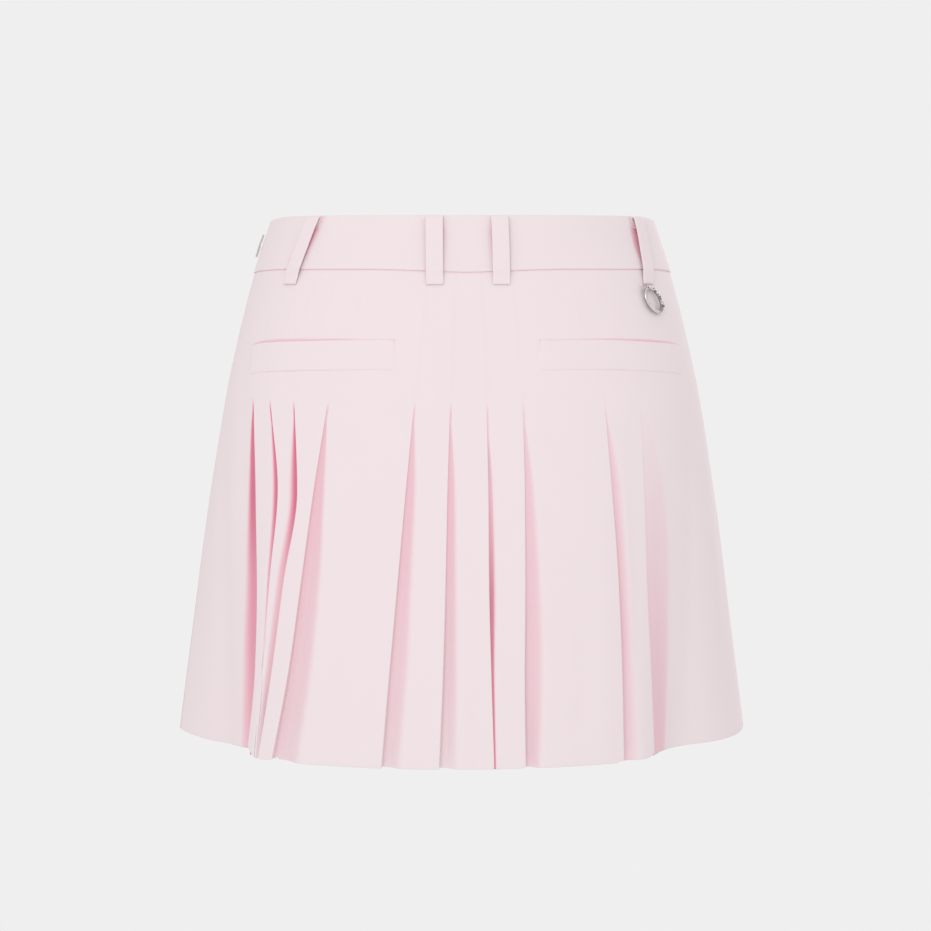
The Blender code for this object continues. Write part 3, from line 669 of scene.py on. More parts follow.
# %% [markdown]
# ## A skirt panel
# A panel is one piece of cloth from the waist seam to the hem. The skirt could be one tube, but
# separate panels give it real seams. A panel's columns are close together in the folds and wider
# apart on plain cloth, and they keep their order from top to bottom. In the yoke, where the pleats
# are stitched flat, only a fine line shows each of them. At the waist seam the cloth dips in under
# the band, and the hem is turned up inside and pressed.

# %% Panel rows
PLAIN_STEP = 4 * MM
YOKE_ROWS = 22
FREE_ROWS = 62
YOKE_TOP = 38 * MM  # about where the waist seam is
UNDER_BAND = 1 * MM  # the panel goes on so far above the band's lower edge
# SEAM_PINK is painted shade along the waist seam, where the panel dips in under the band.
SEAM_PINK = 0.25
# (mm below the panel's top, mm in)
SEAM_ROLL = [(0.0, 0.35), (1.0, 0.32), (1.4, 0.18), (1.9, 0.06), (2.6, 0.0)]
# The hem's rolled edge: (mm below the edge, mm inside the cloth). Then the layer that lies inside:
# (mm up, mm inside).
HEM_ROLL = [(0.22, 0.06), (0.38, 0.25), (0.42, 0.48), (0.36, 0.70), (0.15, 0.86)]
HEM_INSIDE = [(0.5, 0.90), (3.0, 0.92), (8.0, 0.95), (14.0, 0.95), (20.0, 0.95), (21.5, 0.80)]
# In a fold's edge, where the columns stand close, the inner layer keeps this share of its way in.
LEAST_ROOM = 0.12
CLOSE, CLOSE_MORE = 0.9 * MM, 1.4 * MM


def inside_of(row, inward):
    """A row of a panel, moved in along its own normals. The fold edges have no room for it."""
    along = np.gradient(row, axis=0)
    spacing = np.linalg.norm(along, axis=1)
    for _ in range(3):
        spacing = np.minimum(spacing, np.pad(spacing, 1, mode="edge")[:-2])
        spacing = np.minimum(spacing, np.pad(spacing, 1, mode="edge")[2:])
    room = LEAST_ROOM + (1 - LEAST_ROOM) * ease((spacing[:, None] - CLOSE) / CLOSE_MORE)
    along = np.stack([along[:, 1], -along[:, 0], 0 * along[:, 0]], -1)
    along /= np.linalg.norm(along, axis=1, keepdims=True) + 1e-12
    return row - along * room * inward * MM


def turn_up(rows):
    """The rolled edge and the inner layer of a hem, as more rows."""
    step = (HEM - STITCH_END) / FREE_ROWS
    more = [inside_of(rows[-1], inward) - np.array([0, 0, drop * MM]) for drop, inward in HEM_ROLL]
    for up, inward in HEM_INSIDE:
        k = up * MM / step
        low, high = rows[-1 - int(k)], rows[-2 - int(k)]
        more.append(inside_of(low + (high - low) * (k - int(k)), inward))
    return more


# %% Hem corners and panel rows
# The free lower corners of the pleats curl up a little, by "lift" mm over "breadth" mm.
HemCurl = namedtuple("HemCurl", "pleat breadth lift")
HEM_CURLS = [
    HemCurl("left_side", 13.0, 7.0),
    HemCurl("right_side", 6.0, 3.0),
    HemCurl("right_wide", 9.0, 1.8),
    HemCurl("left_wide", 6.0, 1.2),
    HemCurl("centre_fourth", 5.0, 0.8),
]
CURLS_LIKE, CURLS_LATE = 2.2, 10  # powers: across the corner, and of the free share


def hem_curl(place, down):
    """How much higher the cloth hangs near the pleats' free corners."""
    share = released(down)
    total = np.zeros_like(place)
    for curl in HEM_CURLS:
        pleat = next(p for p in BACK_PLEATS if p.name == curl.pleat)
        edge = curve_through(HEIGHTS, pleat.edge, share) * MM
        before = (edge - place) * pleat.lies / (curl.breadth * MM)
        near = np.where(before > -0.05, np.clip(1 - before, 0, 1) ** CURLS_LIKE, 0.0)
        total += curl.lift * MM * near
    return total * share**CURLS_LATE


def panel_row(left, right, pleats, down, yoke_share, counts):
    """One row of a panel: places, inward moves and fold values. Counts are the plain columns."""
    folds = [fold_columns(p, down, yoke_share) for p in pleats]
    stretches = [np.array([[left, 0.0, 0.0]])] + folds + [np.array([[right, 0.0, 0.0]])]
    if counts is None:
        gaps = [abs(a[-1, 0] - b[0, 0]) for a, b in zip(stretches, stretches[1:])]
        return [max(int(round(gap / PLAIN_STEP)), 1) for gap in gaps]
    parts = [stretches[0]]
    for a, b, count in zip(stretches, stretches[1:], counts):
        share = np.arange(1, count)[:, None] / count
        parts += [a[-1] + (b[0] - a[-1]) * share, b]
    return np.concatenate(parts)


# %% Make a panel
def skirt_panel(name, left, right, pleats, creases, side=None):
    """Left and right are functions that give the panel's edges at a depth."""
    counts = panel_row(left(HEM), right(HEM), pleats, HEM, 1.0, None)
    free = [STITCH_END + (HEM - STITCH_END) * k / FREE_ROWS for k in range(FREE_ROWS + 1)]
    rows, folds = [], []
    yoke = STITCH_END - YOKE_TOP
    shares = [s * MM / yoke for s, _ in SEAM_ROLL]
    shares += [k / YOKE_ROWS for k in range(1, YOKE_ROWS)]
    for share in sorted(shares):
        row = panel_row(left(STITCH_END), right(STITCH_END), pleats, STITCH_END, share, counts)
        turns = turn_of(row[:, 0], STITCH_END)
        roll = float(np.interp(share * yoke / MM, *zip(*SEAM_ROLL)))
        points, tint = [], row[:, 2] + SEAM_PINK * roll / SEAM_ROLL[0][1]
        for turn, inward in zip(turns, row[:, 1]):
            top = band_bottom(float(turn)) - UNDER_BAND
            down = top + (STITCH_END - top) * share
            place = float(place_of(turn, down))
            press = crease_at(creases, place, down, side)
            points.append(skin(place, down, -inward - press - roll * MM))
        rows.append(np.array(points))
        folds.append(tint)
    for down in free:
        row = panel_row(left(down), right(down), pleats, down, 1.0, counts)
        place = row[:, 0]
        press = crease_at(creases, place, down, side)
        hang = 0.0 if side else set_back(place, down)
        points = skin(place, down, -row[:, 1] - press - hang)
        points[:, 2] -= HEM_DROP * released(down)
        if not side:
            points[:, 2] += hem_curl(place, down)
        rows.append(points)
        folds.append(row[:, 2])
    more = turn_up(rows)
    folds += [folds[-1]] * len(more)
    rows += more
    return sheet_from(name, rows, folds, SHELL_CLOTH, SHELL)


# %% [markdown]
# ## Back and front panels
# The back is one panel from side seam to side seam. The front is two panels that meet under the
# fly, with three pleats each. Nobody sees the front in the picture, so it is finished plainly in
# the same way as the back.

# %% Cut the three panels
GAP = SEAM_GAP / 2


def from_front(pleat, side):
    """A front pleat, measured from centre front, as a place from centre back."""
    downs = [STITCH_END + (HEM - STITCH_END) * h for h in HEIGHTS]
    edge = tuple(side * (front_place(d) / MM - e) for d, e in zip(downs, pleat.edge))
    waist = side * (front_place(STITCH_END) / MM - pleat.waist)
    return pleat._replace(lies=-side * pleat.lies, edge=edge, waist=waist)


def skirt_front(name, side):
    """A front panel, on the wearer's left (side +1) or right (-1)."""
    edges = [
        lambda down: side * (front_place(down) - GAP),
        lambda down: side * (side_place(down) + GAP),
    ]
    pleats = [from_front(p, side) for p in FRONT_PLEATS]
    return skirt_panel(name, *edges[::side], pleats[::side], FRONT_CREASES, side)


skirt_back = skirt_panel(
    "skirt_back_cloth",
    lambda down: side_place(down) - GAP,
    lambda down: -side_place(down) + GAP,
    BACK_PLEATS,
    BACK_CREASES,
)
skirt_front_left = skirt_front("skirt_front_left_cloth", +1)
skirt_front_right = skirt_front("skirt_front_right_cloth", -1)
for panel in (skirt_back, skirt_front_left, skirt_front_right):
    belongs(panel, panel.name.removesuffix("_cloth"))

# %% [markdown]
# ## The waistband
# The band is folded double over a firm interlining. A sheet with a Solidify modifier would have
# square edges, so it is a flat, closed tube: a face, a back and two rounded edges. Its right end
# laps over the left one at centre front.

# %% The band's cross-section
BAND = 2.4 * MM
BAND_OVERLAP = 15 * MM
BAND_LAP = (BAND + SEAM_GAP) / 2
BAND_COLUMNS = 270
NEAR_LOOP, LEAST_STEP = 0.7 * MM, 0.25 * MM  # steps between columns


def band_section():
    """The cross-section from the top edge over the face and back: (share of height, mm out)."""
    edge = [(0.004, 0.50), (0.016, 0.78)]
    face = [(s, 0.9 + 0.12 * math.sin(math.pi * s)) for s in np.linspace(0.05, 0.96, 15)]
    low = [(0.985, 0.82), (0.996, 0.60), (1.0, 0.0), (0.995, -0.65), (0.975, -1.05)]
    back = [(0.93, -1.2), (0.6, -1.2), (0.3, -1.2), (0.07, -1.2)]
    return ([(0.0, 0.0)] + edge + face + low + back + [(0.025, -1.05), (0.006, -0.65)])[::-1]


def tube_faces(columns, around, closed=False):
    """Faces of a tube whose sections are columns, with flat ends unless it closes on itself."""
    lengths = columns if closed else columns - 1
    c, k = np.meshgrid(np.arange(lengths), np.arange(around), indexing="ij")
    ahead, after = (c + 1) % columns * around, (k + 1) % around
    c = c * around
    sides = np.stack([c + k, c + after, ahead + after, ahead + k], -1).reshape(-1, 4)
    last = (columns - 1) * around
    ends = [tuple(range(around))[::-1], tuple(range(last, last + around))]
    return [tuple(face) for face in sides] + ([] if closed else ends)


def tube_mesh(name, sections, fold=None):
    """A closed tube through sections x points x 3, with coordinates in metres along and round."""
    sections = np.asarray(sections, float)
    columns, around = sections.shape[:2]
    middle = sections.mean(axis=1)
    along = np.concatenate([[0], np.cumsum(np.linalg.norm(np.diff(middle, axis=0), axis=1))])
    gaps = np.linalg.norm(sections - np.roll(sections, 1, axis=1), axis=2)
    round_it = np.cumsum(gaps, axis=1)
    uvs = np.stack([np.repeat(along[:, None], around, 1), round_it], -1).reshape(-1, 2)
    fold = np.zeros((columns, around)) if fold is None else np.asarray(fold)
    return mesh_from(name, sections.reshape(-1, 3), tube_faces(columns, around), uvs, fold.ravel())


# %% [markdown]
# ## Belt loops
# A loop is a narrow folded strip. It is tacked near the band's top edge, stands clear of the band
# so that a belt can pass, and ends on the skirt just below the waist seam, where it is folded
# under and tacked again. A bevelled curve could make it, but it has to twist with the body, so a
# flat section with soft edges is swept along its way. The loops are placed before the band is
# made, because the band is a little pinker in their shade.

# %% Loop table and shape
# "Spills" is how many mm the shade on the band reaches beyond the loop, at the depths SPILL_AT.
SPILL_AT = [3 * MM, 12 * MM, 21 * MM, 30 * MM, 38 * MM]
LoopPlace = namedtuple("LoopPlace", "name top_place end_place stands spills")
NO_SPILL = (0.2, 0.2, 0.2, 0.2, 0.2)
LOOPS = [
    LoopPlace("belt_loop_back_left", 21.7 * MM, 21.7 * MM, 0.45, NO_SPILL),
    LoopPlace("belt_loop_back_right", -21.7 * MM, -23.0 * MM, 0.45, NO_SPILL),
    LoopPlace("belt_loop_side_left", 108.0 * MM, 128.0 * MM, 0.30, (-0.5, -0.2, 0.5, 1.8, 4.0)),
    LoopPlace("belt_loop_side_right", -130.0 * MM, -136.5 * MM, 0.45, (-1.2, 1.0, 3.4, 2.6, 1.4)),
    LoopPlace("belt_loop_front_left", 320.0 * MM, 336.0 * MM, 1.12, NO_SPILL),
    LoopPlace("belt_loop_front_right", -320.0 * MM, -336.0 * MM, 1.12, NO_SPILL),
]
LOOP_WIDTH = 11.8 * MM
LOOP = 1.2 * MM
# From the end under the fold at the top, over the top and down to the lower tack, in mm.
Way = namedtuple("Way", "down out")
LOOP_WAY = [Way(down * MM, out * MM) for down, out in (
    (6.0, 0.30), (2.0, 0.50), (0.9, 1.40), (0.85, 2.60), (2.2, 4.00), (6.0, 5.00), (14.0, 5.40),
    (26.0, 4.60), (35.0, 3.30), (41.0, 1.80), (46.3, 1.05),
)]
# The strip's cross-section: shares of half its width and of half its thickness.
STRIP_SECTION = [
    (-1.0, 0.0), (-0.97, 0.6), (-0.88, 0.95), (-0.75, 1.0), (-0.4, 1.06), (0.0, 1.08), (0.4, 1.06),
    (0.75, 1.0), (0.88, 0.95), (0.97, 0.6), (1.0, 0.0), (0.97, -0.6), (0.88, -0.95), (0.4, -1.0),
    (-0.4, -1.0), (-0.88, -0.95), (-0.97, -0.6),
]


# %% Make the waistband
SHADE_FROM, SHADE_TO = 7.5 * MM, 38 * MM  # a loop shades the band between these depths
SHADE_EDGE, BESIDE_REACH = 1.2 * MM, 3.4 * MM
TOP_SHADE, MORE_SHADE, BESIDE_SHADE = 0.22, 0.33, 0.22  # behind a loop, more lower down, beside it
LOWER_LOSES = 0.45  # the share of it that is gone near the waist seam
FOOT_SHADE, FOOT_FROM, FOOT_OVER = 0.2, 0.985, 0.012  # by the waist seam, in shares of the height


def loop_shade(place, down):
    """How strongly a belt loop shades a point of the waistband, from 0 to 1."""
    total = 0.0
    for spot in LOOPS:
        centre = spot.top_place + (spot.end_place - spot.top_place) * down / LOOP_WAY[-1].down
        inward = (centre - place) * math.copysign(1.0, centre)
        edge = LOOP_WIDTH / 2 + (np.interp(down, SPILL_AT, spot.spills) * MM if inward > 0 else 0.0)
        under = ease((edge - abs(inward)) / SHADE_EDGE)
        under *= TOP_SHADE + MORE_SHADE * ease((down - SHADE_FROM) / (1.5 * MM))
        under *= 1 - LOWER_LOSES * ease((down - 17 * MM) / (15 * MM))
        beside = BESIDE_SHADE * ease(1 - (inward - LOOP_WIDTH / 2) / BESIDE_REACH) * (inward > 0)
        beside *= ease((down - SHADE_FROM) / (3 * MM)) * (1 - ease((down - 12 * MM) / (26 * MM)))
        total = max(total, float(max(under, beside) * ease((SHADE_TO - down) / (2 * MM))))
    return total


def band_places(end):
    """Places from one end of the band to the other, closer together near the loops."""
    places = list(np.linspace(-end, end, BAND_COLUMNS))
    for spot in LOOPS:
        places += list(np.arange(spot.top_place - 12 * MM, spot.top_place + 18 * MM, NEAR_LOOP))
    places = sorted(places)
    return [places[0]] + [b for a, b in zip(places, places[1:]) if b - a > LEAST_STEP]


def make_waistband():
    front = front_place(BAND_LEVEL)
    end = front + BAND_OVERLAP
    section_points = band_section()
    sections, shades = [], []
    for place in band_places(end):
        near_end = float(ease((abs(place) - (end - 3.5 * BAND_OVERLAP)) / BAND_OVERLAP))
        lap = near_end * (BAND_LAP if place < 0 else -BAND_LAP)
        if abs(place) > front:
            place -= math.copysign(2 * front, place)
        turn = float(turn_of(place, BAND_LEVEL))
        top, bottom = band_top(turn), band_bottom(turn)
        ring, shade = [], []
        for share, out in section_points:
            down = top + (bottom - top) * share
            level = max(down, 0.0)
            point = skin(place_of(turn, level), level, lap + out * MM)
            point[2] = -down
            ring.append(point)
            seam = FOOT_SHADE * float(ease((share - FOOT_FROM) / FOOT_OVER))
            shade.append(max(seam, loop_shade(place, down - top) if out > 0.7 else 0.0))
        sections.append(ring)
        shades.append(shade)
    mesh = tube_mesh("waistband_cloth", sections, shades)
    return link("waistband_cloth", mesh, SHELL_CLOTH)


waistband = belongs(make_waistband(), "waistband")
print("waistband:", len(waistband.data.polygons), "faces")

# %% Sweep a loop
STAND_AT = 3 * MM  # the way is followed as given nearer to the band than this
THIN_END = 0.75  # the share of its thickness that a loop keeps at its two ends


def loop_point(spot, down, out, across):
    """A point of a loop's middle sheet. Across is a distance towards the wearer's left."""
    share = down / LOOP_WAY[-1].down
    place = spot.top_place + (spot.end_place - spot.top_place) * share + across
    down += band_top(float(turn_of(place, BAND_LEVEL)))
    stands = out if out < STAND_AT else STAND_AT + (out - STAND_AT) * spot.stands
    point = skin(place, max(down, 0.0), stands)
    point[2] = -down
    return Vector(point)


def make_loop(spot):
    way = through([(w.down, w.out) for w in LOOP_WAY], 5)
    sections = []
    for k, (down, out) in enumerate(way):
        behind, ahead = way[max(k - 1, 0)], way[min(k + 1, len(way) - 1)]
        middle, left, right = (loop_point(spot, down, out, across) for across in (0, REACH, -REACH))
        side = (left - right).normalized()
        along = (loop_point(spot, *ahead, 0) - loop_point(spot, *behind, 0)).normalized()
        up = side.cross(along).normalized()
        half = LOOP / 2 * (THIN_END if k in (0, len(way) - 1) else 1.0)
        ring = [middle + side * (u * LOOP_WIDTH / 2) + up * (v * half) for u, v in STRIP_SECTION]
        sections.append([tuple(point) for point in ring])
    name = spot.name + "_cloth"
    return belongs(link(name, tube_mesh(name, sections), SHELL_CLOTH), spot.name)


loops = [make_loop(spot) for spot in LOOPS]
print("loops:", [piece.name for piece in loops])

# %% [markdown]
# ## Threads and other round cords
# Bar tacks, topstitching and the wire of the ornaments are all thin round things along a path. A
# bevelled curve could draw each, but one helper that sweeps a circle makes them plain meshes, which
# can be joined, tapered and coloured by the fold value.


# %% Sweep cords
def sweep(path, radius, sides, closed=False):
    """A tube along a path. Gives its points and its faces. Radius may be a list."""
    p = np.asarray(path, float)
    if closed:
        tangent = np.roll(p, -1, axis=0) - np.roll(p, 1, axis=0)
    else:
        tangent = np.gradient(p, axis=0)
    tangent /= np.linalg.norm(tangent, axis=1, keepdims=True)
    guide = np.array([0.31, 0.22, 0.93]) if abs(tangent[0, 2]) < 0.8 else np.array([0.9, 0.4, 0.1])
    side = guide - tangent[0] * (guide @ tangent[0])
    points = []
    radii = np.broadcast_to(radius, len(p))
    for k in range(len(p)):
        side = side - tangent[k] * (side @ tangent[k])
        side /= np.linalg.norm(side)
        other = np.cross(tangent[k], side)
        for n in range(sides):
            angle = 2 * math.pi * n / sides
            points.append(p[k] + radii[k] * (side * math.cos(angle) + other * math.sin(angle)))
    return points, tube_faces(len(p), sides, closed)


def gather(parts):
    """Join several (points, faces) into one."""
    points, faces = [], []
    for more_points, more_faces in parts:
        start = len(points)
        points += list(more_points)
        faces += [tuple(start + k for k in face) for face in more_faces]
    return points, faces


def solid(name, points, faces, material, fold=0.0):
    """An object of plain points and faces, with flat coordinates taken from X and Z."""
    points = np.asarray(points, float)
    fold = np.broadcast_to(fold, len(points))
    mesh = mesh_from(name, points, faces, points[:, [0, 2]], fold)
    return link(name, mesh, material)


def make_plain(name, colour, roughness):
    """A material that is the same all over."""
    return new_material(name, {"Base Color": (*colour, 1.0), "Roughness": roughness})[0]


THREAD = make_plain("thread", (0.92, 0.80, 0.83), 0.6)

# %% [markdown]
# ## Bar tacks
# A bar tack is a dense zigzag of thread that holds a loop where it is pulled. Each loop has one on
# the band inside the fold at its top, which shows in the gap beside the side loops. A bump in the
# shader would vanish there, because the gap is seen edge-on, so it is a real thread.


# %% Zigzag tacks
TACK_TURNS, TACK_STEPS = 9, 12
TACK_FROM, TACK_TO, TACK_OUT, TACK_HALF = 3.4 * MM, 8.6 * MM, 1.6 * MM, 5.0 * MM


def make_tacks(spot):
    """A wavy thread across a loop, with flattened crests."""
    path, count = [], TACK_TURNS * TACK_STEPS
    for k in range(count + 1):
        down = TACK_FROM + (TACK_TO - TACK_FROM) * k / count
        wave = math.cos(math.pi * k / TACK_STEPS)
        across = TACK_HALF * math.copysign(abs(wave) ** 0.6, wave)
        path.append(loop_point(spot, down, TACK_OUT, across))
    return belongs(solid(spot.name + "_tacks", *sweep(path, 0.32 * MM, 6), THREAD))


tacks = [make_tacks(spot) for spot in LOOPS]
print("bar tacks:", len(tacks))

# %% [markdown]
# ## Pocket welts
# Each back pocket is a slit with a folded strip, the welt, sewn below it. The slit gapes a little,
# most towards the side seam, so a crescent of painted pink shade shows above the welt's lip. The
# welt's lower edge and ends lie flat in the cloth and only just show, through a little painted
# shade. A line in the shader would look flat from the side, so the welt is a thin sheet of its own
# that rises from the panel by less than 1 mm.

# %% Welt tables
Welt = namedtuple("Welt", "name mouth gape")
WELTS = [
    Welt(
        "pocket_welt_left",
        ((166.3, 88.9), (150.0, 86.6), (118.0, 84.6), (80.1, 83.3), (53.3, 82.9), (48.6, 82.9)),
        (0.4, 1.5, 1.5, 1.0, 0.8, 0.35, 0.05),
    ),
    Welt(
        "pocket_welt_right",
        ((-48.0, 83.3), (-75.0, 83.3), (-99.7, 83.8), (-134.6, 86.1), (-155.0, 87.8), (-169.5, 89.6)),
        (0.05, 0.3, 0.6, 0.9, 1.5, 1.3, 0.3),
    ),
]
# Across the welt: (gapes, mm down, mm out, fold). "Gapes" is a share of the slit's opening. "Fold" is
# painted shade, in the slit's mouth and along the lower edge.
WELT_ACROSS = [
    (-1.00, 0.0, 0.28, 0.0), (-1.00, 0.06, 0.40, 0.25), (-0.50, 0.0, 0.40, 0.32),
    (0.0, -0.10, 0.42, 0.6), (0.0, 0.0, 0.52, 0.55), (0.0, 0.12, 0.80, 0.15),
    (0.0, 0.40, 0.98, 0.0), (0.0, 1.2, 1.02, 0.0), (0.0, 4.0, 0.98, 0.0), (0.0, 9.0, 0.92, 0.0),
    (0.0, 15.0, 0.82, 0.0), (0.0, 18.6, 0.74, 0.0), (0.0, 19.5, 0.62, 0.0),
    (0.0, 19.9, 0.42, 0.15), (0.0, 20.1, 0.22, 0.3),
]
WELT_FOOT = WELT_ACROSS[-1][1]
# From each end inwards: the distance in mm, the share of its full rise there, and the fold value, which
# paints shade at the ends.
END_AT = (0.0, 0.3, 0.8, 1.6, 3.0)
END_RISE = (0.05, 0.22, 0.5, 0.8, 1.0)
END_FOLD = (0.3, 0.3, 0.15, 0.0, 0.0)
INNER_COLUMNS = np.linspace(0.032, 0.968, 76)
FULL_PINK_FROM = 0.8 * MM  # a slit that gapes more than this has its full painted shade
FLAT_OUT = 0.2  # mm out, where the welt's lip doesn't rise at all


# %% Make the welts
def make_welt(welt):
    places = [m[0] for m in welt.mouth]
    mouth_places, mouth_downs = zip(*sorted(welt.mouth))
    reach = places[-1] - places[0]
    shares = [at / abs(reach) for at in END_AT]
    shares = shares + list(INNER_COLUMNS) + [1 - x for x in shares[::-1]]
    steps = list(np.linspace(0, 1, len(welt.gape)))
    columns, folds = [], []
    for share in shares:
        place = places[0] + reach * share
        mouth = curve_through(mouth_places, mouth_downs, place) * MM
        gape = curve_through(steps, welt.gape, share) * MM
        near = min(share, 1 - share) * abs(reach)
        rise, end_fold = (float(np.interp(near, END_AT, values)) for values in (END_RISE, END_FOLD))
        column, fold = [], []
        for open_share, down, out, tint in WELT_ACROSS:
            at = mouth + open_share * gape + down * MM
            lifts = rise if open_share == 0 and down > 0 else 1.0
            outward = (FLAT_OUT + (out - FLAT_OUT) * lifts) * MM
            press = crease_at(BACK_CREASES, place * MM, at, None)
            column.append(skin(place * MM, at, outward - press))
            end_tint = end_fold * max(1 - 3.0 * down / WELT_FOOT, 0.0)
            fold.append(max(tint * min(gape / FULL_PINK_FROM, 1.0), end_tint))
        columns.append(column)
        folds.append(fold)
    rows, tints = np.array(columns).transpose(1, 0, 2), np.array(folds).T
    if reach > 0:
        rows, tints = rows[:, ::-1], tints[:, ::-1]
    return belongs(sheet_from(welt.name + "_cloth", rows, tints, SHELL_CLOTH, 0), welt.name)


welts = [make_welt(welt) for welt in WELTS]

# %% [markdown]
# ## The fly
# In front a placket covers the closing. It is a strip with a rounded lower end, topstitched in
# the shape of a J, and a sewn-through button closes the band above it. It is closed. The strip is
# a grid like the panels, and each stitch is its own short thread, thinner at both ends where it
# dives into the cloth.

# %% Fly placket and its stitches
FLY_LENGTH = 150 * MM
FLY_WIDTH = 38 * MM
FLY_BELOW = 1 * MM
FLY_ROUNDING = 0.8
FLY_OUT, FLY_OUTS = 1.45, {1.0: 0.75, 0.99: 1.05, 0.96: 1.3}  # mm, inside and near the edge
STITCH_SET, STITCH_LONG, STITCH_STEP = 5 * MM, 2.0 * MM, 2.6 * MM
STITCH_OUT, STITCH_RADII = 1.88 * MM, [0.10 * MM, 0.2 * MM, 0.2 * MM, 0.10 * MM]


def fly_half(share):
    """Half the placket's width at a share of its length."""
    rounding = max((share - FLY_ROUNDING) / (1.003 - FLY_ROUNDING), 0.0)
    return FLY_WIDTH / 2 * math.sqrt(1 - rounding**2)


def fly_point(across, share, out):
    """A point over centre front. Across is towards the wearer's left."""
    down = band_bottom(1.0) + FLY_BELOW + FLY_LENGTH * share
    place = front_place(down) - abs(across)
    return skin(place if across > 0 else -place, down, out)


def make_fly():
    shares = sorted(list(np.linspace(0, 0.99, 48)) + [0.996, 1.0])
    edge = [-1.0, -0.99, -0.96, -0.9, -0.75, -0.5, -0.25, -0.01]
    edge += [-e for e in edge[::-1]]
    rows = []
    for share in shares:
        most = FLY_OUTS[1.0] if share == 1.0 else FLY_OUT
        outs = [min(FLY_OUTS.get(abs(e), FLY_OUT), most) * MM for e in edge]
        rows.append([fly_point(e * fly_half(share), share, out) for e, out in zip(edge, outs)])
    rows = np.array(rows)
    piece = sheet_from("fly_placket_cloth", rows, np.zeros(rows.shape[:2]), SHELL_CLOTH, SHELL)
    return belongs(piece, "fly_placket")


def make_fly_stitches():
    """A J: down beside one edge, round the lower end and up to the middle."""
    half = FLY_WIDTH / 2 - STITCH_SET
    line = [(-half, s) for s in np.linspace(0.0, FLY_ROUNDING, 60)]
    for angle in np.linspace(0, math.pi / 2, 22)[1:]:
        line.append((-half * math.cos(angle), FLY_ROUNDING + 0.155 * math.sin(angle)))
    spots = np.array([fly_point(x, s, STITCH_OUT) for x, s in line])
    along = np.concatenate([[0], np.cumsum(np.linalg.norm(np.diff(spots, axis=0), axis=1))])
    parts = []
    for start in np.arange(0, along[-1] - STITCH_LONG, STITCH_STEP):
        steps = start + np.linspace(0, STITCH_LONG, 4)
        dash = np.stack([np.interp(steps, along, spots[:, axis]) for axis in range(3)], -1)
        parts.append(sweep(dash, STITCH_RADII, 5))
    return belongs(solid("fly_stitches", *gather(parts), THREAD))


fly = make_fly()
fly_stitches = make_fly_stitches()
print("fly stitches:", len(fly_stitches.data.vertices), "points")

# %% [markdown]
# ## Round and oval hardware
# Buttons and plates are turned: a profile goes round an axis. Each is modelled flat and then laid
# on the body form, where a tangent along the slope and one across it give its directions. A Screw
# modifier turns profiles too, but only round, and these are also oval.


# %% Turning, and laying on the form
def turned(rings, width, height, thick, sides=48):
    """Points and faces from rings of (size, height) shares, the first and last at the middle."""
    points, faces, starts = [], [], []
    for size, rise in rings:
        starts.append(len(points))
        for k in range(sides if size else 1):
            a = 2 * math.pi * k / sides
            x, y = math.cos(a) * size * width / 2, math.sin(a) * size * height / 2
            points.append((x, y, rise * thick))
    for i in range(len(rings) - 1):
        upper = sides if rings[i][0] else 1
        lower = sides if rings[i + 1][0] else 1
        for k in range(sides):
            corners = [
                starts[i] + k % upper,
                starts[i + 1] + k % lower,
                starts[i + 1] + (k + 1) % lower,
                starts[i] + (k + 1) % upper,
            ]
            faces.append(tuple(dict.fromkeys(corners)))
    return points, faces


def moved(part, x, y, z=0.0):
    """Points and faces, shifted."""
    return [(px + x, py + y, pz + z) for px, py, pz in part[0]], part[1]


def stand_on(piece, place, down, out, tilt=0.0):
    """Lay a piece modelled in X and Y, facing +Z, on the body form."""
    reach = 10 * MM
    at = Vector(skin(place, down, out))
    outward = (Vector(skin(place, down, out + reach)) - at).normalized()
    around = turn_of(place, down)
    above = Vector(skin(place_of(around, down - reach), down - reach, out))
    below = Vector(skin(place_of(around, down + reach), down + reach, out))
    slope = (above - below).normalized()
    across = slope.cross(outward).normalized()
    facing = across.cross(slope).normalized()
    turn = math.cos(tilt) * across + math.sin(tilt) * slope
    upright = math.cos(tilt) * slope - math.sin(tilt) * across
    placing = Matrix((turn, upright, facing)).transposed().to_4x4()
    placing.translation = at
    piece.data.transform(placing)


# %% [markdown]
# ## The button
# A small moulded button with a raised rim and four holes, in the colour of the cloth. The holes
# could be dark dots in a shader, but from close by they need depth, so a Boolean modifier cuts them
# through. Threads run through each pair of holes.

# %% Button
BUTTON_RADIUS = 8.5 * MM
BUTTON_THICK = 3.0 * MM
BUTTON_DOWN = 18.5 * MM
HOLE_RADIUS = 1.05 * MM
HOLE_AT = 1.9 * MM
BUTTON_PLASTIC = make_plain("button plastic", (0.88, 0.76, 0.78), 0.25)


def cut_holes(piece, spots, radius, thick):
    """Bore round holes through a piece, along Z."""
    bores = []
    for x, y in spots:
        bore = turned([(0, 1), (1, 1), (1, -1), (0, -1)], 2 * radius, 2 * radius, thick, 20)
        bores.append(moved(bore, x, y))
    cutter = solid("cutter", *gather(bores), BUTTON_PLASTIC)
    cut = piece.modifiers.new("holes", "BOOLEAN")
    cut.object = cutter
    cut.operation = "DIFFERENCE"
    graph = bpy.context.evaluated_depsgraph_get()
    shape = bpy.data.meshes.new_from_object(piece.evaluated_get(graph))
    piece.modifiers.clear()
    piece.data = shape
    bpy.data.objects.remove(cutter)


BUTTON_RINGS = [
    (0.0, 0.62), (0.3, 0.62), (0.6, 0.66), (0.68, 0.8), (0.74, 0.96), (0.82, 1.0), (0.9, 0.97),
    (0.96, 0.85), (1.0, 0.6), (1.0, 0.2), (0.94, 0.02), (0.0, 0.0),
]
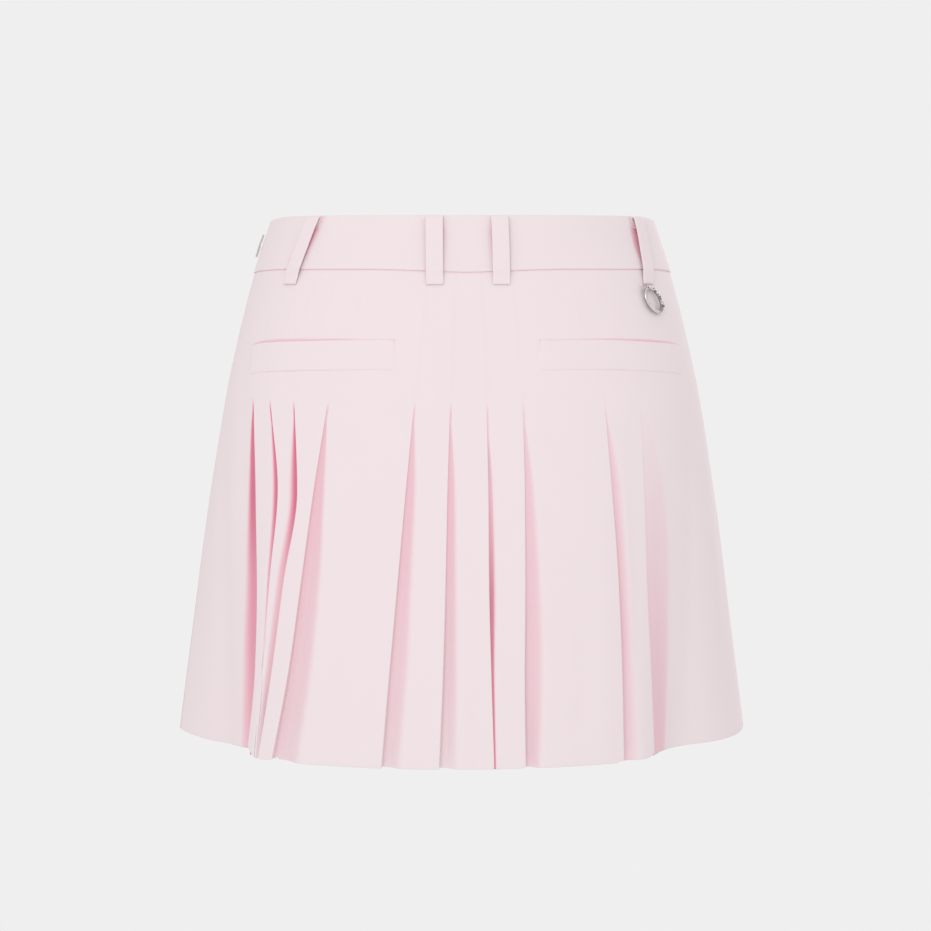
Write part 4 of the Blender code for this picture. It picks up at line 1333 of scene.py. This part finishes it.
# One thread from hole to hole: mm along and mm above the button's middle.
THREAD_WAY = [(-2.0, -1.4), (-1.9, -0.2), (-1.2, 0.28), (0, 0.38), (1.2, 0.28), (1.9, -0.2), (2.0, -1.4)]


def make_button():
    size = 2 * BUTTON_RADIUS
    piece = solid("button_moulded", *turned(BUTTON_RINGS, size, size, BUTTON_THICK), BUTTON_PLASTIC)
    holes = [(x * HOLE_AT, y * HOLE_AT) for x in (-1, 1) for y in (-1, 1)]
    cut_holes(piece, holes, HOLE_RADIUS, 2 * BUTTON_THICK)
    parts, level = [], BUTTON_RINGS[0][1] * BUTTON_THICK
    for y in (-HOLE_AT, HOLE_AT):
        for lane in (-0.45, 0.0, 0.45):
            row = [(x * MM, y + lane * MM, level + rise * MM) for x, rise in THREAD_WAY]
            parts.append(sweep(through(row, 3), 0.22 * MM, 6))
    thread = solid("button_thread", *gather(parts), THREAD)
    down = band_top(1.0) + BUTTON_DOWN
    for part in (piece, thread):
        stand_on(part, -front_place(down), down, BAND_LAP + BAND / 2 + SEAM_GAP + 0.25 * MM)
    belongs(piece, "button")
    belongs(thread)
    return piece


button = make_button()
print("button:", len(button.data.polygons), "faces")

# %% [markdown]
# ## The inner shorts
# Two legs of light knit hang inside the skirt from the waistband's lower edge. They need no fold
# and are hardly seen, so each leg is drawn coarsely, row by row, and a subdivision surface rounds
# it as a soft knit would be.

# %% Shorts table
KNIT = 1.0 * MM
Inset = namedtuple("Inset", "down inward")
SHORTS_INSET = [Inset(down * MM, inward * MM) for down, inward in (
    (44, 1.6), (83, 3.5), (124, 6.0), (165, 11.0), (205, 17.0), (250, 26.0), (280, 33.0),
    (296, 36.6), (297, 36.9), (312, 40.0),
)]
CROTCH_ROW = 5
CROTCH_SAG = 14 * MM
LEG_GAP = 12 * MM
LEG_BULGE = 6 * MM
SHORTS_COLUMNS = 40
INSIDE_COLUMNS = 11
BELOW_BAND = 1.5 * MM
STITCHED_ROW, STITCH_PULL = 7, 0.6 * MM  # the hem's seam pulls the knit in a little
UV_STEP = 14 * MM
SHORTS_KNIT = make_shell_cloth("shorts knit", rib=1.1 * MM, bump=0.25)


# %% Make the shorts
def make_shorts(name, side):
    points, uvs, faces, index = [], [], [], {}
    crotch, hem = SHORTS_INSET[CROTCH_ROW].down, SHORTS_INSET[-1].down
    for r, level in enumerate(SHORTS_INSET):
        below = r >= CROTCH_ROW
        parted = max((level.down - crotch) / (hem - crotch), 0.0)
        least = SEAM_GAP / 2 + (KNIT / 2 + parted * LEG_GAP if below else 0.0)
        ring = []
        for c in range(SHORTS_COLUMNS):
            down = level.down
            place = c / (SHORTS_COLUMNS - 1) * front_place(down)
            if r == 0:
                down = max(down, band_bottom(float(turn_of(place, down))) + BELOW_BAND)
            pinch = STITCH_PULL if r == STITCHED_ROW else 0.0
            point = Vector(skin(place, down, -level.inward - pinch))
            point.x = max(point.x, least)
            ring.append(point)
        if below:
            back, front = ring[0], ring[-1]
            for k in range(1, INSIDE_COLUMNS + 1):
                share = k / (INSIDE_COLUMNS + 1)
                sag = CROTCH_SAG * math.sin(math.pi * share) * (1 - parted)
                bulge = LEG_BULGE * math.sin(math.pi * share) * parted
                y = front.y + (back.y - front.y) * share
                ring.append(Vector((least - bulge, y, front.z - sag)))
        for c, point in enumerate(ring):
            index[r, c] = len(points)
            points.append((side * point.x, point.y, point.z))
            uvs.append((c * UV_STEP, point.z))
    around = SHORTS_COLUMNS + INSIDE_COLUMNS
    for r in range(len(SHORTS_INSET) - 1):
        closed = r >= CROTCH_ROW
        for c in range(around if closed else SHORTS_COLUMNS - 1):
            after = (c + 1) % around
            face = (index[r, c], index[r + 1, c], index[r + 1, after], index[r, after])
            faces.append(face if side < 0 else face[::-1])
    mesh = mesh_from(name + "_cloth", points, faces, uvs, np.zeros(len(points)))
    piece = link(name + "_cloth", mesh, SHORTS_KNIT)
    rounder = piece.modifiers.new("rounder", "SUBSURF")
    rounder.levels = 1
    rounder.render_levels = 1
    thicken(piece, KNIT)
    return belongs(piece, name)


shorts = [make_shorts("shorts_left", +1), make_shorts("shorts_right", -1)]
print("shorts:", [piece.name for piece in shorts])

# %% [markdown]
# ## Metal ornaments
# A small oval ring hangs under the right side loop. One flank is a smooth polished bar that gets
# thicker towards its lower end, and the other is set with tiny stones. An oval plate with a beaded
# rim sits on the waistband at the left side seam. Cut facets would be too small to see, so stones
# and beads are plain turned shapes. Their dark places are painted shade and painted dark
# reflections, from the same fold value that paints shade in the cloth.


# %% Material: polished metal
def make_metal():
    """Polished white metal, with painted shade and painted dark reflections where its fold value is
    high.
    """
    material, tree, shader = new_material("polished metal", {"Metallic": 1.0, "Roughness": 0.18})
    bright, grey, dark = (0.70, 0.66, 0.665, 1.0), (0.42, 0.38, 0.385, 1.0), (0.07, 0.05, 0.055, 1.0)
    fold_coloured(tree, shader, bright, grey, dark)
    return material


METAL = make_metal()
print("material:", METAL.name)

# %% Ring with stones
RING_LENGTH = 21 * MM
RING_WIDTH = 16 * MM
RING_WIRE = 2.6 * MM
RING_PLACE = -137.5 * MM
RING_DOWN = 58 * MM
RING_TILT = math.radians(37)
RING_COLUMNS, RING_SIDES = 72, 16
RING_HALVES = (RING_WIDTH - RING_WIRE) / 2, (RING_LENGTH - RING_WIRE) / 2
LOOP_FOOT = 0.6 * MM  # the side loop's end lies under the ring
STONE_ROWS, STONES_IN_ROW = (0.90, 1.08), 9
STONE_FROM, STONE_STEP, STONE_UP = -1.25, 0.27, 0.42
STONE_RINGS = [(0, 1), (0.5, 0.86), (0.87, 0.5), (1, 0), (0.87, -0.5), (0, -1)]
DARK_EVERY = 41  # a stone has 42 points, so the painted dark reflection shifts from stone to stone


def make_ring():
    half_wide, half_long = RING_HALVES
    angles = np.linspace(0, 2 * math.pi, RING_COLUMNS, endpoint=False)
    middle = np.stack([np.cos(angles) * half_wide, np.sin(angles) * half_long, 0 * angles], -1)
    low = 0.5 - 0.5 * np.sin(angles + 0.5)
    radius = RING_WIRE / 2 * (0.72 + 0.28 * low)
    points, faces = sweep(middle, radius, RING_SIDES, closed=True)
    points = np.array(points)
    heights = points[:, 2] / (RING_WIRE / 2)
    # Painted shade: the wire is darker on its side towards the cloth.
    painted_dark = ease((0.35 - heights) / 0.9)
    # Painted reflection: a dark streak along one side of the wire, on part of the ring.
    painted_reflection = np.repeat(0.65 * ease((np.sin(angles + 2.4) - 0.1) / 0.5), RING_SIDES)
    around = np.linspace(0, 2 * math.pi, RING_SIDES, endpoint=False)
    inner = np.tile(0.5 + 0.5 * np.cos(around), RING_COLUMNS)
    return points, faces, np.maximum(painted_dark, painted_reflection * inner)


def make_stones():
    """Tiny round stones in two staggered rows along one flank."""
    parts = []
    half_wide, half_long = RING_HALVES
    for row, grow in enumerate(STONE_ROWS):
        for k in range(STONES_IN_ROW):
            angle = STONE_FROM + (k + 0.5 * row) * STONE_STEP
            x, y = math.cos(angle) * half_wide * grow, math.sin(angle) * half_long * grow
            size = (0.55 + 0.12 * ((k * 7 + row * 3) % 4)) * MM
            stone = turned(STONE_RINGS, 2 * size, 2 * size, size, 10)
            parts.append(moved(stone, x, y, RING_WIRE * STONE_UP))
    return gather(parts)


def make_ornament_back():
    points, faces, painted_dark = make_ring()
    ring = solid("ornament_back_ring", points, faces, METAL, painted_dark)
    stone_points, stone_faces = make_stones()
    # Painted dark reflections: one block of points in three is dark.
    tone = [0.0 if (k // DARK_EVERY) % 3 else 0.75 for k in range(len(stone_points))]
    stones = solid("ornament_back_stones", stone_points, stone_faces, METAL, tone)
    turn = np.linspace(0, 2 * math.pi, 24, endpoint=False)
    height = RING_LENGTH / 2 + 0.6 * MM + 1.9 * MM * np.sin(turn)
    eye = np.stack([2.1 * MM * np.cos(turn), height, 0.25 * MM + 0.7 * MM * np.cos(turn)], -1)
    # The bail is a little darker all over: painted shade under the loop's end.
    bail = solid("ornament_back_bail", *sweep(eye, 0.45 * MM, 8, closed=True), METAL, 0.25)
    out = LOOP_FOOT + SEAM_GAP + RING_WIRE / 2 + 0.5 * MM
    for part, node in ((ring, "ornament_back"), (stones, None), (bail, None)):
        stand_on(part, RING_PLACE, RING_DOWN, out, RING_TILT)
        belongs(part, node)
    return [ring, stones, bail]


print("under the loop:", [part.name for part in make_ornament_back()])

# %% Plate with a beaded rim
PLATE_RINGS = [
    (0.0, 1.0), (0.3, 0.97), (0.6, 0.85), (0.74, 0.66), (0.8, 0.52), (0.84, 0.56), (0.9, 0.5),
    (0.96, 0.3), (1.0, 0.1), (1.0, 0.0), (0.0, 0.0),
]
GROOVE = 0.8  # the share of the plate's size where its groove gets painted shade
BEADS, BEAD_AT = 44, 0.91
BEAD_RINGS = [(0, 1), (0.7, 0.7), (1, 0), (0.7, -0.7), (0, -1)]


def make_ornament_side():
    width, height, thick, down = 11 * MM, 17 * MM, 1.9 * MM, 22 * MM
    points, faces = turned(PLATE_RINGS, width, height, thick)
    sizes = np.hypot([p[0] / width * 2 for p in points], [p[1] / height * 2 for p in points])
    # Painted shade in the groove inside the rim.
    painted_dark = np.where(abs(sizes - GROOVE) < 0.03, 0.9, 0.0)
    plate = solid("ornament_side_plate", points, faces, METAL, painted_dark)
    parts = []
    for k in range(BEADS):
        a = 2 * math.pi * k / BEADS
        x, y = math.cos(a) * BEAD_AT * width / 2, math.sin(a) * BEAD_AT * height / 2
        parts.append(moved(turned(BEAD_RINGS, 1.1 * MM, 1.1 * MM, 0.55 * MM, 8), x, y, 0.5 * thick))
    # The beads are a little darker all over: painted shade.
    beads = solid("ornament_side_beads", *gather(parts), METAL, 0.1)
    for part, node in ((plate, "ornament_side"), (beads, None)):
        stand_on(part, side_place(down) - 5 * MM, down, BAND / 2 + SEAM_GAP + 0.5 * MM)
        belongs(part, node)
    return [plate, beads]


print("on the band:", [part.name for part in make_ornament_side()])

# %% [markdown]
# ## A stage, a camera and soft light
# The garment is shown on a plain pale ground that has no edge and no shadow, in even light from
# everywhere with a little more from the camera's side. A lit ground would show a shadow, so this
# one glows by itself. A long lens far away keeps the shape true. The camera stands level with the
# waistband and looks slightly down, so it needs no lens shift.

# %% Stage
PAPER = 0.8632  # the ground's brightness on a scale from black to white, in linear light
FLOOR_HALF, FLOOR_LOW = 30.0, -2.4


def make_stage():
    values = {
        "Base Color": (0.0, 0.0, 0.0, 1.0),
        "Roughness": 1.0,
        "Specular IOR Level": 0.0,
        "Emission Color": (1.0, 1.0, 1.0, 1.0),
        "Emission Strength": PAPER,
    }
    mesh = bpy.data.meshes.new("floor")
    corners = ((-1, -1), (1, -1), (1, 1), (-1, 1))
    points = [(x * FLOOR_HALF, y * FLOOR_HALF, FLOOR_LOW) for x, y in corners]
    mesh.from_pydata(points, [], [(0, 1, 2, 3)])
    mesh.materials.append(new_material("pale ground", values)[0])
    floor = bpy.data.objects.new("floor", mesh)
    bpy.context.scene.collection.objects.link(floor)
    world = bpy.data.worlds.new("even light")
    world.use_nodes = True
    sky = world.node_tree.nodes["Background"]
    sky.inputs["Color"].default_value = (1.0, 1.0, 1.0, 1.0)
    sky.inputs["Strength"].default_value = PAPER
    bpy.context.scene.world = world
    bpy.context.scene.view_settings.view_transform = "Standard"


make_stage()
print("stage: floor at", FLOOR_LOW, "m")

# %% Camera
PIXELS = 931  # the picture is square
FOCAL_PIXELS = 2707.0
DISTANCE = 1.93
YAW = math.radians(1.7)
HORIZON = (462.5, 216.0)  # where the level line of sight meets the picture


def make_camera():
    data = bpy.data.cameras.new("camera")
    data.sensor_width = 36.0
    across = (PIXELS / 2 - HORIZON[0]) / FOCAL_PIXELS
    below = (PIXELS / 2 - HORIZON[1]) / FOCAL_PIXELS
    data.lens = FOCAL_PIXELS / PIXELS * data.sensor_width * math.hypot(1.0, below)
    camera = bpy.data.objects.new("camera", data)
    back = Vector((math.sin(YAW), math.cos(YAW), 0.0))
    right = Vector((-math.cos(YAW), math.sin(YAW), 0.0))
    camera.location = back * DISTANCE
    view = -back + right * across - Vector((0, 0, 1)) * below
    camera.rotation_mode = "QUATERNION"
    camera.rotation_quaternion = view.to_track_quat("-Z", "Y")
    bpy.context.scene.collection.objects.link(camera)
    bpy.context.scene.camera = camera
    print("camera at", [round(x, 4) for x in camera.location], "lens", round(data.lens, 2))


make_camera()


# %% Lights
def add_area(name, place, size, power, target=(0.0, 0.0, -0.18)):
    data = bpy.data.lights.new(name, "AREA")
    data.shape = "DISK"
    data.size = size
    data.energy = power
    lamp = bpy.data.objects.new(name, data)
    lamp.location = place
    lamp.rotation_mode = "QUATERNION"
    lamp.rotation_quaternion = (Vector(target) - Vector(place)).to_track_quat("-Z", "Y")
    bpy.context.scene.collection.objects.link(lamp)


add_area("key", (0.75, 3.3, 1.1), 1.8, 30.0)
add_area("fill", (-1.6, -2.8, 0.9), 2.0, 30.0)
print("lights:", [lamp.name for lamp in bpy.data.lights])
